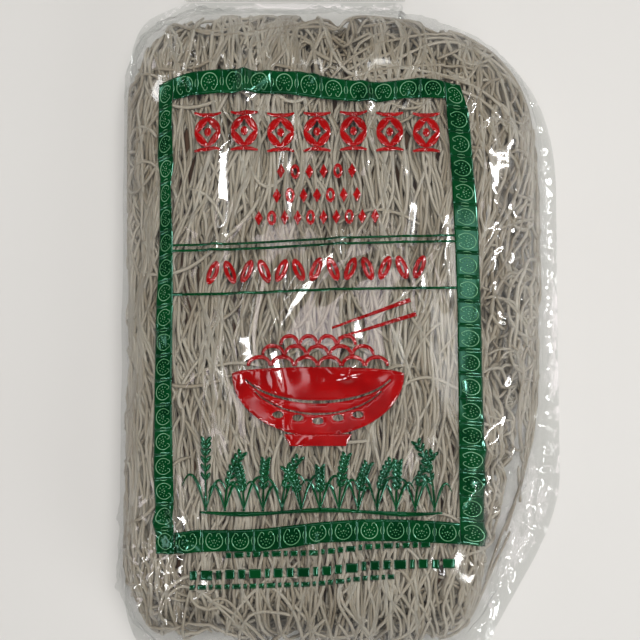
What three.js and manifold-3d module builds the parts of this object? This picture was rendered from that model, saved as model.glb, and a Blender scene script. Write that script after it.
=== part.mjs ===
// A sealed bag of dried rice vermicelli, lying on its back.
// Millimetres, +X to the right, +Y along the pack, +Z up, origin under its middle.
// The bag is one solid: a pillow-shaped core that stands for the packed block,
// the flattened film round it, its two sealed ends, and the noodles that show
// through the film, fused on at true thickness.
import * as THREE from 'three';
import { mergeVertices } from 'three/addons/utils/BufferGeometryUtils.js';
import Module from 'manifold-3d';

// Driving dimensions of the pack
const PACK_HALF_LENGTH = 125;
const PACK_HALF_WIDTH = 75.4;
const PACK_HEIGHT = 42;

// The packed block inside the film: its four sides and the reach of each corner's curve
const BLOCK_LEFT = -75.6;
const BLOCK_RIGHT = 69;
const BLOCK_TOP = 110;
const BLOCK_BOTTOM = -110;
const BLOCK_CORNERS = [
  { x: BLOCK_RIGHT, y: BLOCK_TOP, before: 50, after: 66 },
  { x: BLOCK_LEFT, y: BLOCK_TOP, before: 34, after: 34 },
  { x: BLOCK_LEFT, y: BLOCK_BOTTOM, before: 30, after: 32 },
  { x: 44, y: BLOCK_BOTTOM, before: 22, after: 24 },
  { x: BLOCK_RIGHT, y: -12, before: 40, after: 26 },
];
const OUTLINE_POINTS = 400;

// The film's lay-flat margin, close above the table: it shows along the right side,
// and most at the slack bottom right corner
const MARGIN_THICKNESS = 1.8;
const MARGIN_HEIGHT = 3.2;
const MARGIN_WAVE = 1.2;
const MARGIN_WAVE_LENGTH = 46;
const MARGIN_CORNERS = [
  { x: PACK_HALF_WIDTH, y: 105, before: 54, after: 62 },
  { x: -71, y: 105, before: 12, after: 14 },
  { x: -71, y: -107, before: 14, after: 18 },
  { x: 54, y: -112, before: 10, after: 16 },
  { x: PACK_HALF_WIDTH, y: -66, before: 20, after: 14 },
];

// The sealed ends: film drawn in from the block to a flat fin. neck and fin are the
// left and right edges where the film leaves the block and at the seal
const SEAL_THICKNESS = 1.6;
const SEAL_WIDTH = 10;
const SEAL_HEIGHT = 7;
const SEAL_RIPPLE = 0.9;
const SEAL_RIPPLES = 4;
const NECK_START = 90;
const NECK_HEIGHT = 30;
const NECK_BASE = 1;
const NECK_EDGE_SHARE = 0.6;
const ENDS = [
  { side: 1, neck: [-58, 16], fin: [-56, 22] },
  { side: -1, neck: [-58, 24], fin: [-60, 46] },
];

// Noodles that show: strands with 4 sides, half sunk in the core, that run along
// the pack, turn back near its ends and lie in loose loops on the right and below.
// A pair of values is the range that a random draw is taken from
const STRAND_SIDES = 4;
const STRAND_HALF_DIAGONAL = 0.75;
const STRAND_SINK = 0.15;
const WALL_COVER = 0.82;
const LONG_STRANDS = 12;
const LONG_STEP = 12;
const LONG_POINTS = 22;
const LONG_SWAY = [2, 6];
const LONG_PITCH = [70, 140];
const LONG_SLANT = [-0.05, 0.05];
const LOOP_STEP = 6;
const TURN_POINTS = 9;
const HAIRPINS = 5;
const HAIRPIN_LEG = [24, 36];
const HAIRPIN_WIDTH = [7, 12];
const HAIRPIN_TIP = [20, 30];
const RIGHT_LOOPS = 4;
const RIGHT_LOOP_SPAN = [-62, 74];
const RIGHT_LOOP_ACROSS = [11, 16];
const RIGHT_LOOP_ALONG = [13, 20];
const RIGHT_LOOP_START = [0.6 * Math.PI, 1.4 * Math.PI];
const RIGHT_LOOP_TURN = 1.5 * Math.PI;
const END_ARCS = 3;
const END_ARC_SPAN = [-48, 22];
const END_ARC_ACROSS = [20, 28];
const END_ARC_ALONG = [12, 18];
const END_ARC_Y = BLOCK_BOTTOM + 16;
const SEED = 20;

// The core, just under the noodles: half of its section at a mean radius, the cells
// it is divided into, and how it leans in and drops towards the right
const CORE_HEIGHT = PACK_HEIGHT - STRAND_HALF_DIAGONAL + STRAND_SINK;
const MEAN_RADIUS = 90;
const FACE_RADIUS = 66;
const FACE_CROWN_RADIUS = 36;
const FACE_FALL = 2.2;
const WALL_BULGE = 5;
const WALL_BULGE_HEIGHT = 14;
const BASE_RADIUS = 83;
const FACE_SHARE = 0.68;
const CORE_CELLS = { across: 8, along: 10, up: 4 };
const RIGHT_LEAN = 17;
const LEFT_LEAN = 1;
const END_LEAN = 6;
const RIGHT_DROP = 5;

// Corners of the joined solid that lie closer than this are one corner
const WELD_DISTANCE = 0.003;

const wasm = await Module();
wasm.setup();

// Repeatable random numbers from 0 to 1
function randomSource(seed) {
  let state = seed;
  return () => {
    state = (Math.imul(state, 1664525) + 1013904223) >>> 0;
    return state / 4294967296;
  };
}

// A closed outline through corners whose curves start and end on the sides
function roundedOutline(corners) {
  const shape = new THREE.Shape();
  const toward = (from, to, reach) => {
    const step = new THREE.Vector2(to.x - from.x, to.y - from.y).setLength(reach);
    return step.add(new THREE.Vector2(from.x, from.y));
  };
  corners.forEach((corner, i) => {
    const previous = corners[(i + corners.length - 1) % corners.length];
    const next = corners[(i + 1) % corners.length];
    const start = toward(corner, previous, corner.before);
    const end = toward(corner, next, corner.after);
    if (i === 0) {
      shape.moveTo(start.x, start.y);
    } else {
      shape.lineTo(start.x, start.y);
    }
    shape.quadraticCurveTo(corner.x, corner.y, end.x, end.y);
  });
  shape.closePath();
  return shape;
}

// An outline as a radius for each direction from the middle
function radiusTable(shape) {
  const polar = shape.getSpacedPoints(OUTLINE_POINTS).slice(1)
    .map((point) => ({ angle: point.angle(), radius: point.length() }))
    .sort((a, b) => a.angle - b.angle);
  const fullTurn = 2 * Math.PI;
  return (angle) => {
    const turn = ((angle % fullTurn) + fullTurn) % fullTurn;
    const found = polar.findIndex((entry) => entry.angle > turn);
    const next = polar[Math.max(0, found)];
    const last = polar[(found > 0 ? found : polar.length) - 1];
    const gap = (next.angle - last.angle + fullTurn) % fullTurn;
    const part = (turn - last.angle + fullTurn) % fullTurn;
    return THREE.MathUtils.lerp(last.radius, next.radius, part / gap);
  };
}

const blockRadius = radiusTable(roundedOutline(BLOCK_CORNERS));

// Half of the core's section at its mean radius, from the middle of the crowned
// face, over its edge and down the wall to the base
const section = new THREE.CurvePath();
section.add(new THREE.QuadraticBezierCurve(
  new THREE.Vector2(0, CORE_HEIGHT),
  new THREE.Vector2(FACE_CROWN_RADIUS, CORE_HEIGHT),
  new THREE.Vector2(FACE_RADIUS, CORE_HEIGHT - FACE_FALL),
));
section.add(new THREE.CubicBezierCurve(
  new THREE.Vector2(FACE_RADIUS, CORE_HEIGHT - FACE_FALL),
  new THREE.Vector2(MEAN_RADIUS, CORE_HEIGHT - 2 * FACE_FALL),
  new THREE.Vector2(MEAN_RADIUS + WALL_BULGE, WALL_BULGE_HEIGHT),
  new THREE.Vector2(BASE_RADIUS, 0),
));

// Moves a point of the mean section, in the direction angle, onto the real block:
// the outline stretches it, the right wall leans in more than the left, and the
// face falls a little towards the right
function shapeCore(angle, radius, height) {
  const inward = radius / MEAN_RADIUS;
  const rise = height / CORE_HEIGHT;
  const [cosine, sine] = [Math.cos(angle), Math.sin(angle)];
  const lean = (rise * inward) ** 2;
  const sideLean = (cosine > 0 ? RIGHT_LEAN : LEFT_LEAN) * cosine * Math.abs(cosine);
  const endLean = END_LEAN * sine * Math.abs(sine);
  const reach = inward * blockRadius(angle);
  const x = reach * cosine;
  const drop = RIGHT_DROP * rise * Math.max(0, x / BLOCK_RIGHT) ** 2;
  return new THREE.Vector3(x - lean * sideLean, reach * sine - lean * endLean, height - drop);
}

const wallLength = section.getLength() * (1 - FACE_SHARE);

// How far the face reaches from its middle in the direction angle
function faceReachAt(angle) {
  return (blockRadius(angle) * FACE_SHARE * section.getLength()) / MEAN_RADIUS;
}

// A point of a sheet laid over the block: (x, y) is its distance from the middle,
// measured over the face and then down the wall
function sheetPoint(x, y) {
  const angle = Math.atan2(y, x);
  const distance = Math.hypot(x, y);
  const faceReach = faceReachAt(angle);
  const share = distance < faceReach
    ? (FACE_SHARE * distance) / faceReach
    : FACE_SHARE + (1 - FACE_SHARE) * Math.min(1, (distance - faceReach) / wallLength);
  const { x: radius, y: height } = section.getPoint(share);
  return shapeCore(angle, radius, height);
}

// The same point moved out of the sheet by lift
function liftedPoint(x, y, lift) {
  const across = sheetPoint(x + 1, y).sub(sheetPoint(x - 1, y));
  const along = sheetPoint(x, y + 1).sub(sheetPoint(x, y - 1));
  return sheetPoint(x, y).addScaledVector(across.cross(along).normalize(), lift);
}

function toManifold(geometry) {
  const bare = geometry.clone();
  bare.deleteAttribute('normal');
  bare.deleteAttribute('uv');
  const merged = mergeVertices(bare, 1e-4);
  return new wasm.Manifold(new wasm.Mesh({
    numProp: 3,
    vertProperties: new Float32Array(merged.attributes.position.array),
    triVerts: new Uint32Array(merged.index.array),
  }));
}

// The largest closed body of a joined solid: a hollow that the joining sealed is
// filled, and a loose scrap is dropped
function mainBody(solid) {
  return solid.decompose().reduce((best, body) => (body.volume() > best.volume() ? body : best));
}

// The joined solid as a geometry: corners closer than WELD_DISTANCE become one, and
// the faces that this folds flat, or lays back to back, are dropped
function toGeometry(solid) {
  const joined = mainBody(solid).getMesh();
  const raw = new THREE.BufferGeometry();
  raw.setAttribute('position', new THREE.BufferAttribute(joined.vertProperties, 3));
  raw.setIndex(new THREE.BufferAttribute(joined.triVerts, 1));
  const welded = mergeVertices(raw, WELD_DISTANCE);
  const faces = new Map();
  for (let i = 0; i < welded.index.count; i += 3) {
    const face = [0, 1, 2].map((corner) => welded.index.getX(i + corner));
    const key = face.toSorted((a, b) => a - b).join(' ');
    if (new Set(face).size === 3) {
      faces.set(key, [...(faces.get(key) ?? []), face]);
    }
  }
  const kept = [...faces.values()].filter((alike) => alike.length === 1).flat(2);
  welded.setIndex(kept);
  welded.computeVertexNormals();
  return welded;
}

// A random value between the two limits of a range
function between([low, high], random) {
  return THREE.MathUtils.lerp(low, high, random());
}

// Runs place(point) over every vertex of a geometry
function reshape(geometry, place) {
  const positions = geometry.attributes.position;
  const point = new THREE.Vector3();
  for (let i = 0; i < positions.count; i += 1) {
    point.fromBufferAttribute(positions, i);
    place(point);
    positions.setXYZ(i, point.x, point.y, point.z);
  }
  return geometry;
}

// The core: a box of small cells drawn over the section. The lid's cells become
// rings of the face, the sides' cells the wall, and the floor's the flat base
function buildCore() {
  const { across, along, up } = CORE_CELLS;
  const box = new THREE.BoxGeometry(2, 2, 2, across, along, up);
  return reshape(box, (point) => {
    const ring = Math.max(Math.abs(point.x), Math.abs(point.y));
    const angle = Math.atan2(point.y * BLOCK_TOP, point.x * BLOCK_RIGHT);
    if (point.z === -1) {
      point.copy(shapeCore(angle, ring * BASE_RADIUS, 0));
    } else {
      const down = (1 - point.z) / 2;
      const share = point.z === 1 ? ring * FACE_SHARE : FACE_SHARE + (1 - FACE_SHARE) * down;
      const { x: radius, y: height } = section.getPoint(share);
      point.copy(shapeCore(angle, radius, height));
    }
  });
}

// The film's flat margin: a thin wavy plate whose two faces move together
function buildMargin() {
  const plate = new THREE.ExtrudeGeometry(roundedOutline(MARGIN_CORNERS), {
    depth: MARGIN_THICKNESS,
    bevelEnabled: false,
    curveSegments: 9,
  });
  const turn = (2 * Math.PI) / MARGIN_WAVE_LENGTH;
  return reshape(plate, (point) => {
    point.z += MARGIN_HEIGHT + MARGIN_WAVE * Math.sin(turn * (point.x + point.y));
  });
}

// A sealed end: a wedge of film that falls from the block to a rippled fin. It is
// swept across the pack, then each slice is drawn to its place and height
function buildEnd({ side, neck, fin }) {
  const finStart = PACK_HALF_LENGTH - SEAL_WIDTH;
  const [finTop, finBase] = [SEAL_HEIGHT + SEAL_THICKNESS / 2, SEAL_HEIGHT - SEAL_THICKNESS / 2];
  const profile = new THREE.Shape();
  profile.moveTo(NECK_START, NECK_BASE);
  profile.lineTo(PACK_HALF_LENGTH - 2 * SEAL_WIDTH, NECK_BASE);
  profile.lineTo(finStart, finBase);
  profile.lineTo(PACK_HALF_LENGTH, finBase);
  profile.lineTo(PACK_HALF_LENGTH, finTop);
  profile.lineTo(finStart, finTop);
  profile.quadraticCurveTo(finStart - SEAL_WIDTH, NECK_HEIGHT - SEAL_HEIGHT, NECK_START, NECK_HEIGHT);
  const wedge = new THREE.ExtrudeGeometry(profile, {
    depth: 1,
    bevelEnabled: false,
    curveSegments: 4,
    steps: 4 * SEAL_RIPPLES,
  });
  return reshape(wedge, (point) => {
    const [along, height, across] = [point.x, point.y, point.z];
    const slack = (along - NECK_START) / (PACK_HALF_LENGTH - NECK_START);
    const rounding = 1 - (2 * across - 1) ** 4;
    const [left, right] = [0, 1].map((edge) => THREE.MathUtils.lerp(neck[edge], fin[edge], slack));
    const share = side > 0 ? across : 1 - across;
    const fold = SEAL_RIPPLE * slack * Math.sin(2 * Math.PI * SEAL_RIPPLES * across);
    const crown = THREE.MathUtils.lerp(NECK_EDGE_SHARE, 1, Math.max(rounding, slack));
    const rise = height > finTop ? height * crown : height;
    point.set(THREE.MathUtils.lerp(left, right, share), side * along, rise + fold);
  });
}

// One noodle: a strand of true thickness swept through points of the sheet, as far
// as they lie above the base
function buildStrand(sheetPath, step) {
  const outline = new THREE.Shape();
  for (let i = 0; i < STRAND_SIDES; i += 1) {
    const corner = new THREE.Vector2(STRAND_HALF_DIAGONAL, 0);
    corner.rotateAround(new THREE.Vector2(), (2 * Math.PI * i) / STRAND_SIDES);
    if (i === 0) {
      outline.moveTo(corner.x, corner.y);
    } else {
      outline.lineTo(corner.x, corner.y);
    }
  }
  outline.closePath();
  const onBlock = sheetPath.filter(([x, y]) => (
    Math.hypot(x, y) < faceReachAt(Math.atan2(y, x)) + WALL_COVER * wallLength
  ));
  const path = new THREE.CatmullRomCurve3(onBlock.map(([x, y]) => liftedPoint(x, y, -STRAND_SINK)));
  return new THREE.ExtrudeGeometry(outline, {
    extrudePath: path,
    steps: Math.round(path.getLength() / step),
    bevelEnabled: false,
  });
}

// Long noodles lie side by side along the pack in slow waves, and down its ends
function longPath(index, random) {
  const share = (index + between([0.3, 0.7], random)) / LONG_STRANDS;
  const home = THREE.MathUtils.lerp(BLOCK_LEFT - wallLength / 3, BLOCK_RIGHT + wallLength / 4, share);
  const sway = between(LONG_SWAY, random);
  const pitch = between(LONG_PITCH, random);
  const phase = between([0, 2 * Math.PI], random);
  const slant = between(LONG_SLANT, random);
  return Array.from({ length: LONG_POINTS + 1 }, (_, i) => {
    const y = THREE.MathUtils.lerp(-PACK_HALF_LENGTH, PACK_HALF_LENGTH, i / LONG_POINTS);
    return [home + slant * y + sway * Math.sin((2 * Math.PI * y) / pitch + phase), y];
  });
}

// A part of an ellipse, from one angle to another
function arcPath(middle, reach, from, to) {
  const curve = new THREE.EllipseCurve(middle[0], middle[1], reach[0], reach[1], from, to);
  return curve.getPoints(TURN_POINTS).map((point) => point.toArray());
}

// A hairpin: a noodle that comes along the pack, turns back near its end and leaves
function hairpinPath(index, random) {
  const side = index % 2 === 0 ? 1 : -1;
  const x = THREE.MathUtils.lerp(BLOCK_LEFT, BLOCK_RIGHT, (index + 1.4) / (HAIRPINS + 2.4));
  const width = between(HAIRPIN_WIDTH, random);
  const y = side * (BLOCK_TOP - between(HAIRPIN_TIP, random));
  const turn = arcPath([x, y], [width, side * width], 0, Math.PI);
  const legEnd = y - side * between(HAIRPIN_LEG, random);
  return [[x + width + 2, legEnd], ...turn, [x - width - 1, legEnd]];
}

// A loose loop that hangs down the right wall
function rightLoopPath(index, random) {
  const y = THREE.MathUtils.lerp(...RIGHT_LOOP_SPAN, index / (RIGHT_LOOPS - 1));
  const direction = Math.atan2(y, BLOCK_RIGHT);
  const middle = [blockRadius(direction) * Math.cos(direction), y];
  const reach = [between(RIGHT_LOOP_ACROSS, random), between(RIGHT_LOOP_ALONG, random)];
  const start = between(RIGHT_LOOP_START, random);
  return arcPath(middle, reach, start, start + RIGHT_LOOP_TURN);
}

// A wide arc that lies across the bottom end
function endArcPath(index, random) {
  const x = THREE.MathUtils.lerp(...END_ARC_SPAN, index / (END_ARCS - 1));
  const reach = [between(END_ARC_ACROSS, random), between(END_ARC_ALONG, random)];
  return arcPath([x, END_ARC_Y], reach, 0.1 * Math.PI, 1.1 * Math.PI);
}

const group = new THREE.Group();
const random = randomSource(SEED);
const noodleRuns = [
  { count: LONG_STRANDS, makePath: longPath, step: LONG_STEP },
  { count: HAIRPINS, makePath: hairpinPath, step: LOOP_STEP },
  { count: RIGHT_LOOPS, makePath: rightLoopPath, step: LOOP_STEP },
  { count: END_ARCS, makePath: endArcPath, step: LOOP_STEP },
];
let bag = toManifold(buildCore()).add(toManifold(buildMargin()));
for (const end of ENDS) {
  bag = bag.add(toManifold(buildEnd(end)));
}
for (const { count, makePath, step } of noodleRuns) {
  for (let i = 0; i < count; i += 1) {
    bag = bag.add(toManifold(buildStrand(makePath(i, random), step)));
  }
}

const film = new THREE.MeshStandardMaterial({ color: 0xa8a096, roughness: 0.3, metalness: 0 });
const sealedBag = new THREE.Mesh(toGeometry(bag), film);
sealedBag.name = 'sealed_bag';
group.add(sealedBag);

export default group;
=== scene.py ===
"""A sealed bag of dried rice vermicelli: combed noodles in clear, printed, crinkled film.

Lengths are worked out in millimetres and put into the meshes in metres.
"""
import math

import bpy
import numpy as np
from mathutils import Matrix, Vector
from mathutils.geometry import delaunay_2d_cdt


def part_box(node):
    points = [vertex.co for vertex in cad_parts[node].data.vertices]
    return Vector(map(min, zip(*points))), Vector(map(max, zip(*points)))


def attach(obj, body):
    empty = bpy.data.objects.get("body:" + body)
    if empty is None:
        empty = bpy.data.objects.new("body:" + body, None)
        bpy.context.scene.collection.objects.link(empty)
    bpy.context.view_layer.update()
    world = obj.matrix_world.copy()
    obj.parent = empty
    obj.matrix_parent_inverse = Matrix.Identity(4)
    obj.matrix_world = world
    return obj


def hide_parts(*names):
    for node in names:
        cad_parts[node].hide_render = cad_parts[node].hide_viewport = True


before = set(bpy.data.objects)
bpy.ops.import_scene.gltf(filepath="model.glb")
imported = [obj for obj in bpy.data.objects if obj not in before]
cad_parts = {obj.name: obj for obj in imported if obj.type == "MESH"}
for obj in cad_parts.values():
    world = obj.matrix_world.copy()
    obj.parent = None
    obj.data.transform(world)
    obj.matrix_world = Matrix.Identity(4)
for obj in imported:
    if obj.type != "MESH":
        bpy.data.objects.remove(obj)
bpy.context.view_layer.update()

MM = 0.001
NODE = "sealed_bag"
SEED = 41

# The pack's reach, from the frame
high_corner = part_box(NODE)[1]
PACK_HALF_WIDTH = high_corner.x / MM
PACK_HALF_LENGTH = high_corner.y / MM
PACK_HEIGHT = high_corner.z / MM

# The block's outline: corners, and how far each corner's curve reaches back and on
BLOCK_TOP = 110.0
BLOCK_LEFT = -75.6
BLOCK_RIGHT = 69.0
BLOCK_CORNERS = [
    ((BLOCK_RIGHT, BLOCK_TOP), 50, 66),
    ((BLOCK_LEFT, BLOCK_TOP), 34, 34),
    ((BLOCK_LEFT, -BLOCK_TOP), 30, 32),
    ((44, -BLOCK_TOP), 22, 24),
    ((BLOCK_RIGHT, -12), 40, 26),
]

# The film's outline at its folded edge, out to the seal at each end
SEAL_LENGTH = 10
SEAL_LINE = PACK_HALF_LENGTH - SEAL_LENGTH
FILM_CORNERS = [
    ((PACK_HALF_WIDTH, 106), 58, 56),
    ((20, 106), 5, 5),
    ((22, SEAL_LINE), 3, 3),
    ((-56, SEAL_LINE), 3, 8),
    ((-PACK_HALF_WIDTH, 106), 10, 14),
    ((-PACK_HALF_WIDTH, -108), 16, 14),
    ((-60, -SEAL_LINE), 8, 3),
    ((46, -SEAL_LINE), 3, 8),
    ((PACK_HALF_WIDTH, -64), 22, 14),
]

# The heights of the fold and of the seals, and where along the pack the fold starts to rise
# to the seals, over what run
EDGE_HEIGHT = 3.6
SEAL_HEIGHT = 7.0
SEAL_RISE_FROM, SEAL_RISE_RUN = 100, 12

# How many points a corner's curve and a whole outline are worked out in
CORNER_POINTS, OUTLINE_POINTS = 24, 1440

# Half of the block's section at a mean radius: a crowned face, then the wall, and the face's
# share of its length. Then how far the wall leans in, how far the face falls to the right,
# and how late the film leaves the wall
SECTION_HEIGHT = PACK_HEIGHT - 0.6
MEAN_RADIUS = 90.0
FACE_CURVE = [(0, SECTION_HEIGHT), (36, SECTION_HEIGHT), (66, SECTION_HEIGHT - 2.2)]
WALL_CURVE = [(66, SECTION_HEIGHT - 2.2), (90, SECTION_HEIGHT - 4.4), (95, 14), (83, 0)]
FACE_SHARE = 0.68
RIGHT_LEAN, LEFT_LEAN, END_LEAN, RIGHT_DROP = 17.0, 1.0, 6.0, 5.0
FLARE_POWER = 3.2

# The sheet over the block: half its size, and the cell of the grids that are kept over it
FILM_HALF = np.array([116.0, 156.0])
FILM_CELL = 0.4

# Noodles: their radius, the sides of their tubes and how these narrow at the ends, how deep
# they are piled over the block, under it and in the slack margin, the steps along their
# paths and of the pile's grid, and the shortest that is laid
NOODLE_RADIUS = 0.61
NOODLE_SIDES = 5
END_TAPER = 0.7
PILE_DEPTH = 7.0
UNDER_DEPTH = 3.2
MARGIN_DEPTH = 2.0
FINE_STEP = 0.8
STAMP_STEP = 0.4
SHORTEST = 14.0

# Where the pile is loose: how much deeper it reaches there, from where and over what run
LOOSE_RIGHT, LOOSE_LEFT, LOOSE_END = (4.0, 46, 18), (3.5, 62, 16), (3.5, 88, 24)

# How far down the wall, and out to which share of the underside, the strands go
WALL_COVER, UNDER_COVER = 0.97, 0.92

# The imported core's surface, from the block's, and the film's level underneath
CORE_LEVEL = -PILE_DEPTH - 0.5
BACK_HEIGHT = 0.35

# Strands underneath: their gap to the film, and how much they rise from which share of the
# block's outline, over what run
UNDER_GAP = 0.15
UNDER_RISE, UNDER_RISE_FROM, UNDER_RISE_RUN = 2.4, 0.76, 0.16

# Strands loose in the margin: how far they lie under their sheet, how far out it is drawn,
# where on the wall each turns back, and over what length it bends
MARGIN_SINK = 2.6
MARGIN_FLARE = 0.75
MARGIN_EDGES = (0.8, 0.98)
MARGIN_BEND = 14.0


# ---------------------------------------------------------------- curves and the block

def bezier(points, count):
    """Points on a Bezier curve: each pair of neighbours is blended by t until one is left."""
    t = np.linspace(0, 1, count)[:, None]
    layers = [np.broadcast_to(np.array(p, float), (count, 2)) for p in points]
    while len(layers) > 1:
        layers = [(1 - t) * a + t * b for a, b in zip(layers, layers[1:])]
    return layers[0]


def spaced(points, count):
    """The same line with count points at equal distances along it."""
    steps = np.linalg.norm(np.diff(points, axis=0), axis=1)
    along = np.concatenate([[0], np.cumsum(steps)])
    wanted = np.linspace(0, along[-1], count)
    return np.stack([np.interp(wanted, along, axis) for axis in points.T], axis=1)


def between(line, places):
    """A line's points at places counted along its points, blended between neighbours."""
    index = np.arange(len(line))
    return np.stack([np.interp(places, index, column) for column in line.T], axis=1)


def unit(vectors):
    """Vectors scaled to length 1."""
    return vectors / np.linalg.norm(vectors, axis=-1, keepdims=True)


def left_of(line):
    """Unit vectors square to a flat line, on its left."""
    tangent = np.gradient(line, axis=0)
    return unit(np.stack([-tangent[:, 1], tangent[:, 0]], axis=1))


def rounded_outline(corners):
    """A closed outline: a quadratic curve at each corner, straight lines between them."""
    spots = np.array([corner for corner, _, _ in corners], float)
    runs = []
    for i, (corner, before, after) in enumerate(corners):
        back = spots[i - 1] - spots[i]
        on = spots[(i + 1) % len(spots)] - spots[i]
        start = spots[i] + back * before / np.linalg.norm(back)
        end = spots[i] + on * after / np.linalg.norm(on)
        runs.append(bezier([start, corner, end], CORNER_POINTS))
    outline = np.concatenate(runs)
    return spaced(np.concatenate([outline, outline[:1]]), OUTLINE_POINTS)


def radius_table(corners):
    """An outline as a function: the radius in each direction from the middle."""
    outline = rounded_outline(corners)[1:]
    angle = np.arctan2(outline[:, 1], outline[:, 0])
    order = np.argsort(angle)
    radius = np.linalg.norm(outline, axis=1)
    return lambda theta: np.interp(theta, angle[order], radius[order], period=2 * np.pi)


block_radius = radius_table(BLOCK_CORNERS)
film_radius = radius_table(FILM_CORNERS)
SECTION = spaced(np.concatenate([bezier(FACE_CURVE, 200), bezier(WALL_CURVE, 300)[1:]]), 800)
SECTION_LENGTH = np.linalg.norm(np.diff(SECTION, axis=0), axis=1).sum()
WALL_LENGTH = SECTION_LENGTH * (1 - FACE_SHARE)


def face_reach(theta):
    """How far the face goes from its middle in a direction."""
    return block_radius(theta) * FACE_SHARE * SECTION_LENGTH / MEAN_RADIUS


def share_of(x, y):
    """Where a sheet point lies on the section: 0 in the middle, FACE_SHARE at the face's
    edge, 1 at the foot of the wall."""
    distance = np.hypot(x, y)
    reach = face_reach(np.arctan2(y, x))
    beyond = FACE_SHARE + (1 - FACE_SHARE) * (distance - reach) / WALL_LENGTH
    return np.where(distance < reach, FACE_SHARE * distance / reach, np.minimum(beyond, 1))


def outline_share(x, y):
    """How far a point lies from the middle, as a share of the block's outline there."""
    return np.hypot(x, y) / block_radius(np.arctan2(y, x))


def smoothstep(value):
    """0 below 0, 1 above 1, and the cubic 3v^2 - 2v^3 between."""
    v = np.clip(value, 0, 1)
    return v * v * (3 - 2 * v)


def block_point(x, y, flare=0.0):
    """A point of a sheet laid over the block and down its walls.

    The section's radius at the point's share is stretched to the outline in the point's
    direction. The wall leans in, more on the right: by the square of height times radius,
    and by the cosine or sine of the direction times its own size. The face falls to the
    right by the square of the way to the right side. flare, from 0 to 1, draws the foot of
    the wall out to the film's folded edge instead, by a high power of the way down it, so
    that the rest hugs the block.
    """
    theta = np.arctan2(y, x)
    share = share_of(x, y)
    at = np.linspace(0, 1, len(SECTION))
    inward = np.interp(share, at, SECTION[:, 0]) / MEAN_RADIUS
    height = np.interp(share, at, SECTION[:, 1])
    cosine, sine = np.cos(theta), np.sin(theta)
    rise = height / SECTION_HEIGHT
    lean = (rise * inward) ** 2
    side_lean = np.where(cosine > 0, RIGHT_LEAN, LEFT_LEAN) * cosine * np.abs(cosine)
    end_lean = END_LEAN * sine * np.abs(sine)
    reach = inward * block_radius(theta)
    drop = RIGHT_DROP * rise * np.maximum(0, reach * cosine / BLOCK_RIGHT) ** 2
    px = reach * cosine - lean * side_lean
    py = reach * sine - lean * end_lean
    pz = height - drop
    down = np.clip((share - FACE_SHARE) / (1 - FACE_SHARE), 0, 1) ** FLARE_POWER * flare
    edge = film_radius(theta)
    at_seal = smoothstep((np.abs(edge * sine) - SEAL_RISE_FROM) / SEAL_RISE_RUN)
    edge_height = EDGE_HEIGHT + (SEAL_HEIGHT - EDGE_HEIGHT) * at_seal
    px += down * (edge * cosine - px)
    py += down * (edge * sine - py)
    pz += down * (edge_height - pz)
    return np.stack([px, py, pz], axis=-1)


def lifted_point(x, y, lift, flare=0.0):
    """The sheet point moved along the sheet's normal, the cross product of its slopes."""
    step = 0.6
    across = block_point(x + step, y, flare) - block_point(x - step, y, flare)
    along = block_point(x, y + step, flare) - block_point(x, y - step, flare)
    normal = unit(np.cross(across, along))
    return block_point(x, y, flare) + normal * np.asarray(lift)[..., None], normal


# ---------------------------------------------------------------- meshes

def add_mesh(name, points, quads, triangles=(), smooth=True, attributes=None, fold=None):
    """A mesh object from arrays of points (mm) and faces, at the origin. fold is a loop of
    points along which it is creased sharply."""
    mesh = bpy.data.meshes.new(name)
    points = np.asarray(points, float).reshape(-1, 3) * MM
    quads = np.asarray(quads, np.int64).reshape(-1, 4)
    triangles = np.asarray(triangles, np.int64).reshape(-1, 3)
    loops = np.concatenate([quads.ravel(), triangles.ravel()])
    starts = np.concatenate([
        4 * np.arange(len(quads)), 4 * len(quads) + 3 * np.arange(len(triangles))])
    mesh.vertices.add(len(points))
    mesh.vertices.foreach_set("co", points.ravel())
    mesh.loops.add(len(loops))
    mesh.loops.foreach_set("vertex_index", loops)
    mesh.polygons.add(len(starts))
    mesh.polygons.foreach_set("loop_start", starts)
    mesh.update(calc_edges=True)
    mesh.polygons.foreach_set("use_smooth", np.full(len(starts), smooth))
    for key, values in (attributes or {}).items():
        layer = mesh.attributes.new(key, "FLOAT", "POINT")
        layer.data.foreach_set("value", np.asarray(values, np.float32).ravel())
    if fold is not None:
        ends = np.empty(2 * len(mesh.edges), np.int32)
        mesh.edges.foreach_get("vertices", ends)
        on_fold = np.isin(ends.reshape(-1, 2), fold).all(axis=1)
        mesh.attributes.new("sharp_edge", "BOOLEAN", "EDGE").data.foreach_set("value", on_fold)
    mesh.validate()
    piece = bpy.data.objects.new(name, mesh)
    bpy.context.scene.collection.objects.link(piece)
    return piece


def finish_piece(piece, material):
    """Gives a piece its material and ties it to the pack."""
    piece.data.materials.append(material)
    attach(piece, "root")
    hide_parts(NODE)


def thicken(piece, thickness, offset):
    """Gives a sheet its thickness (mm): about its surface for offset 0, below it for -1."""
    wall = piece.modifiers.new("thickness", "SOLIDIFY")
    wall.thickness = thickness * MM
    wall.offset = offset


def joined(parts):
    """One mesh from many (points, faces, ...): their points in a row, and each array of
    faces shifted to match."""
    offsets = np.cumsum([0] + [len(part[0]) for part in parts[:-1]])
    points = np.concatenate([part[0] for part in parts])
    faces = [np.concatenate([part[i] + offset for part, offset in zip(parts, offsets)])
             for i in range(1, len(parts[0]))]
    return points, *faces


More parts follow.
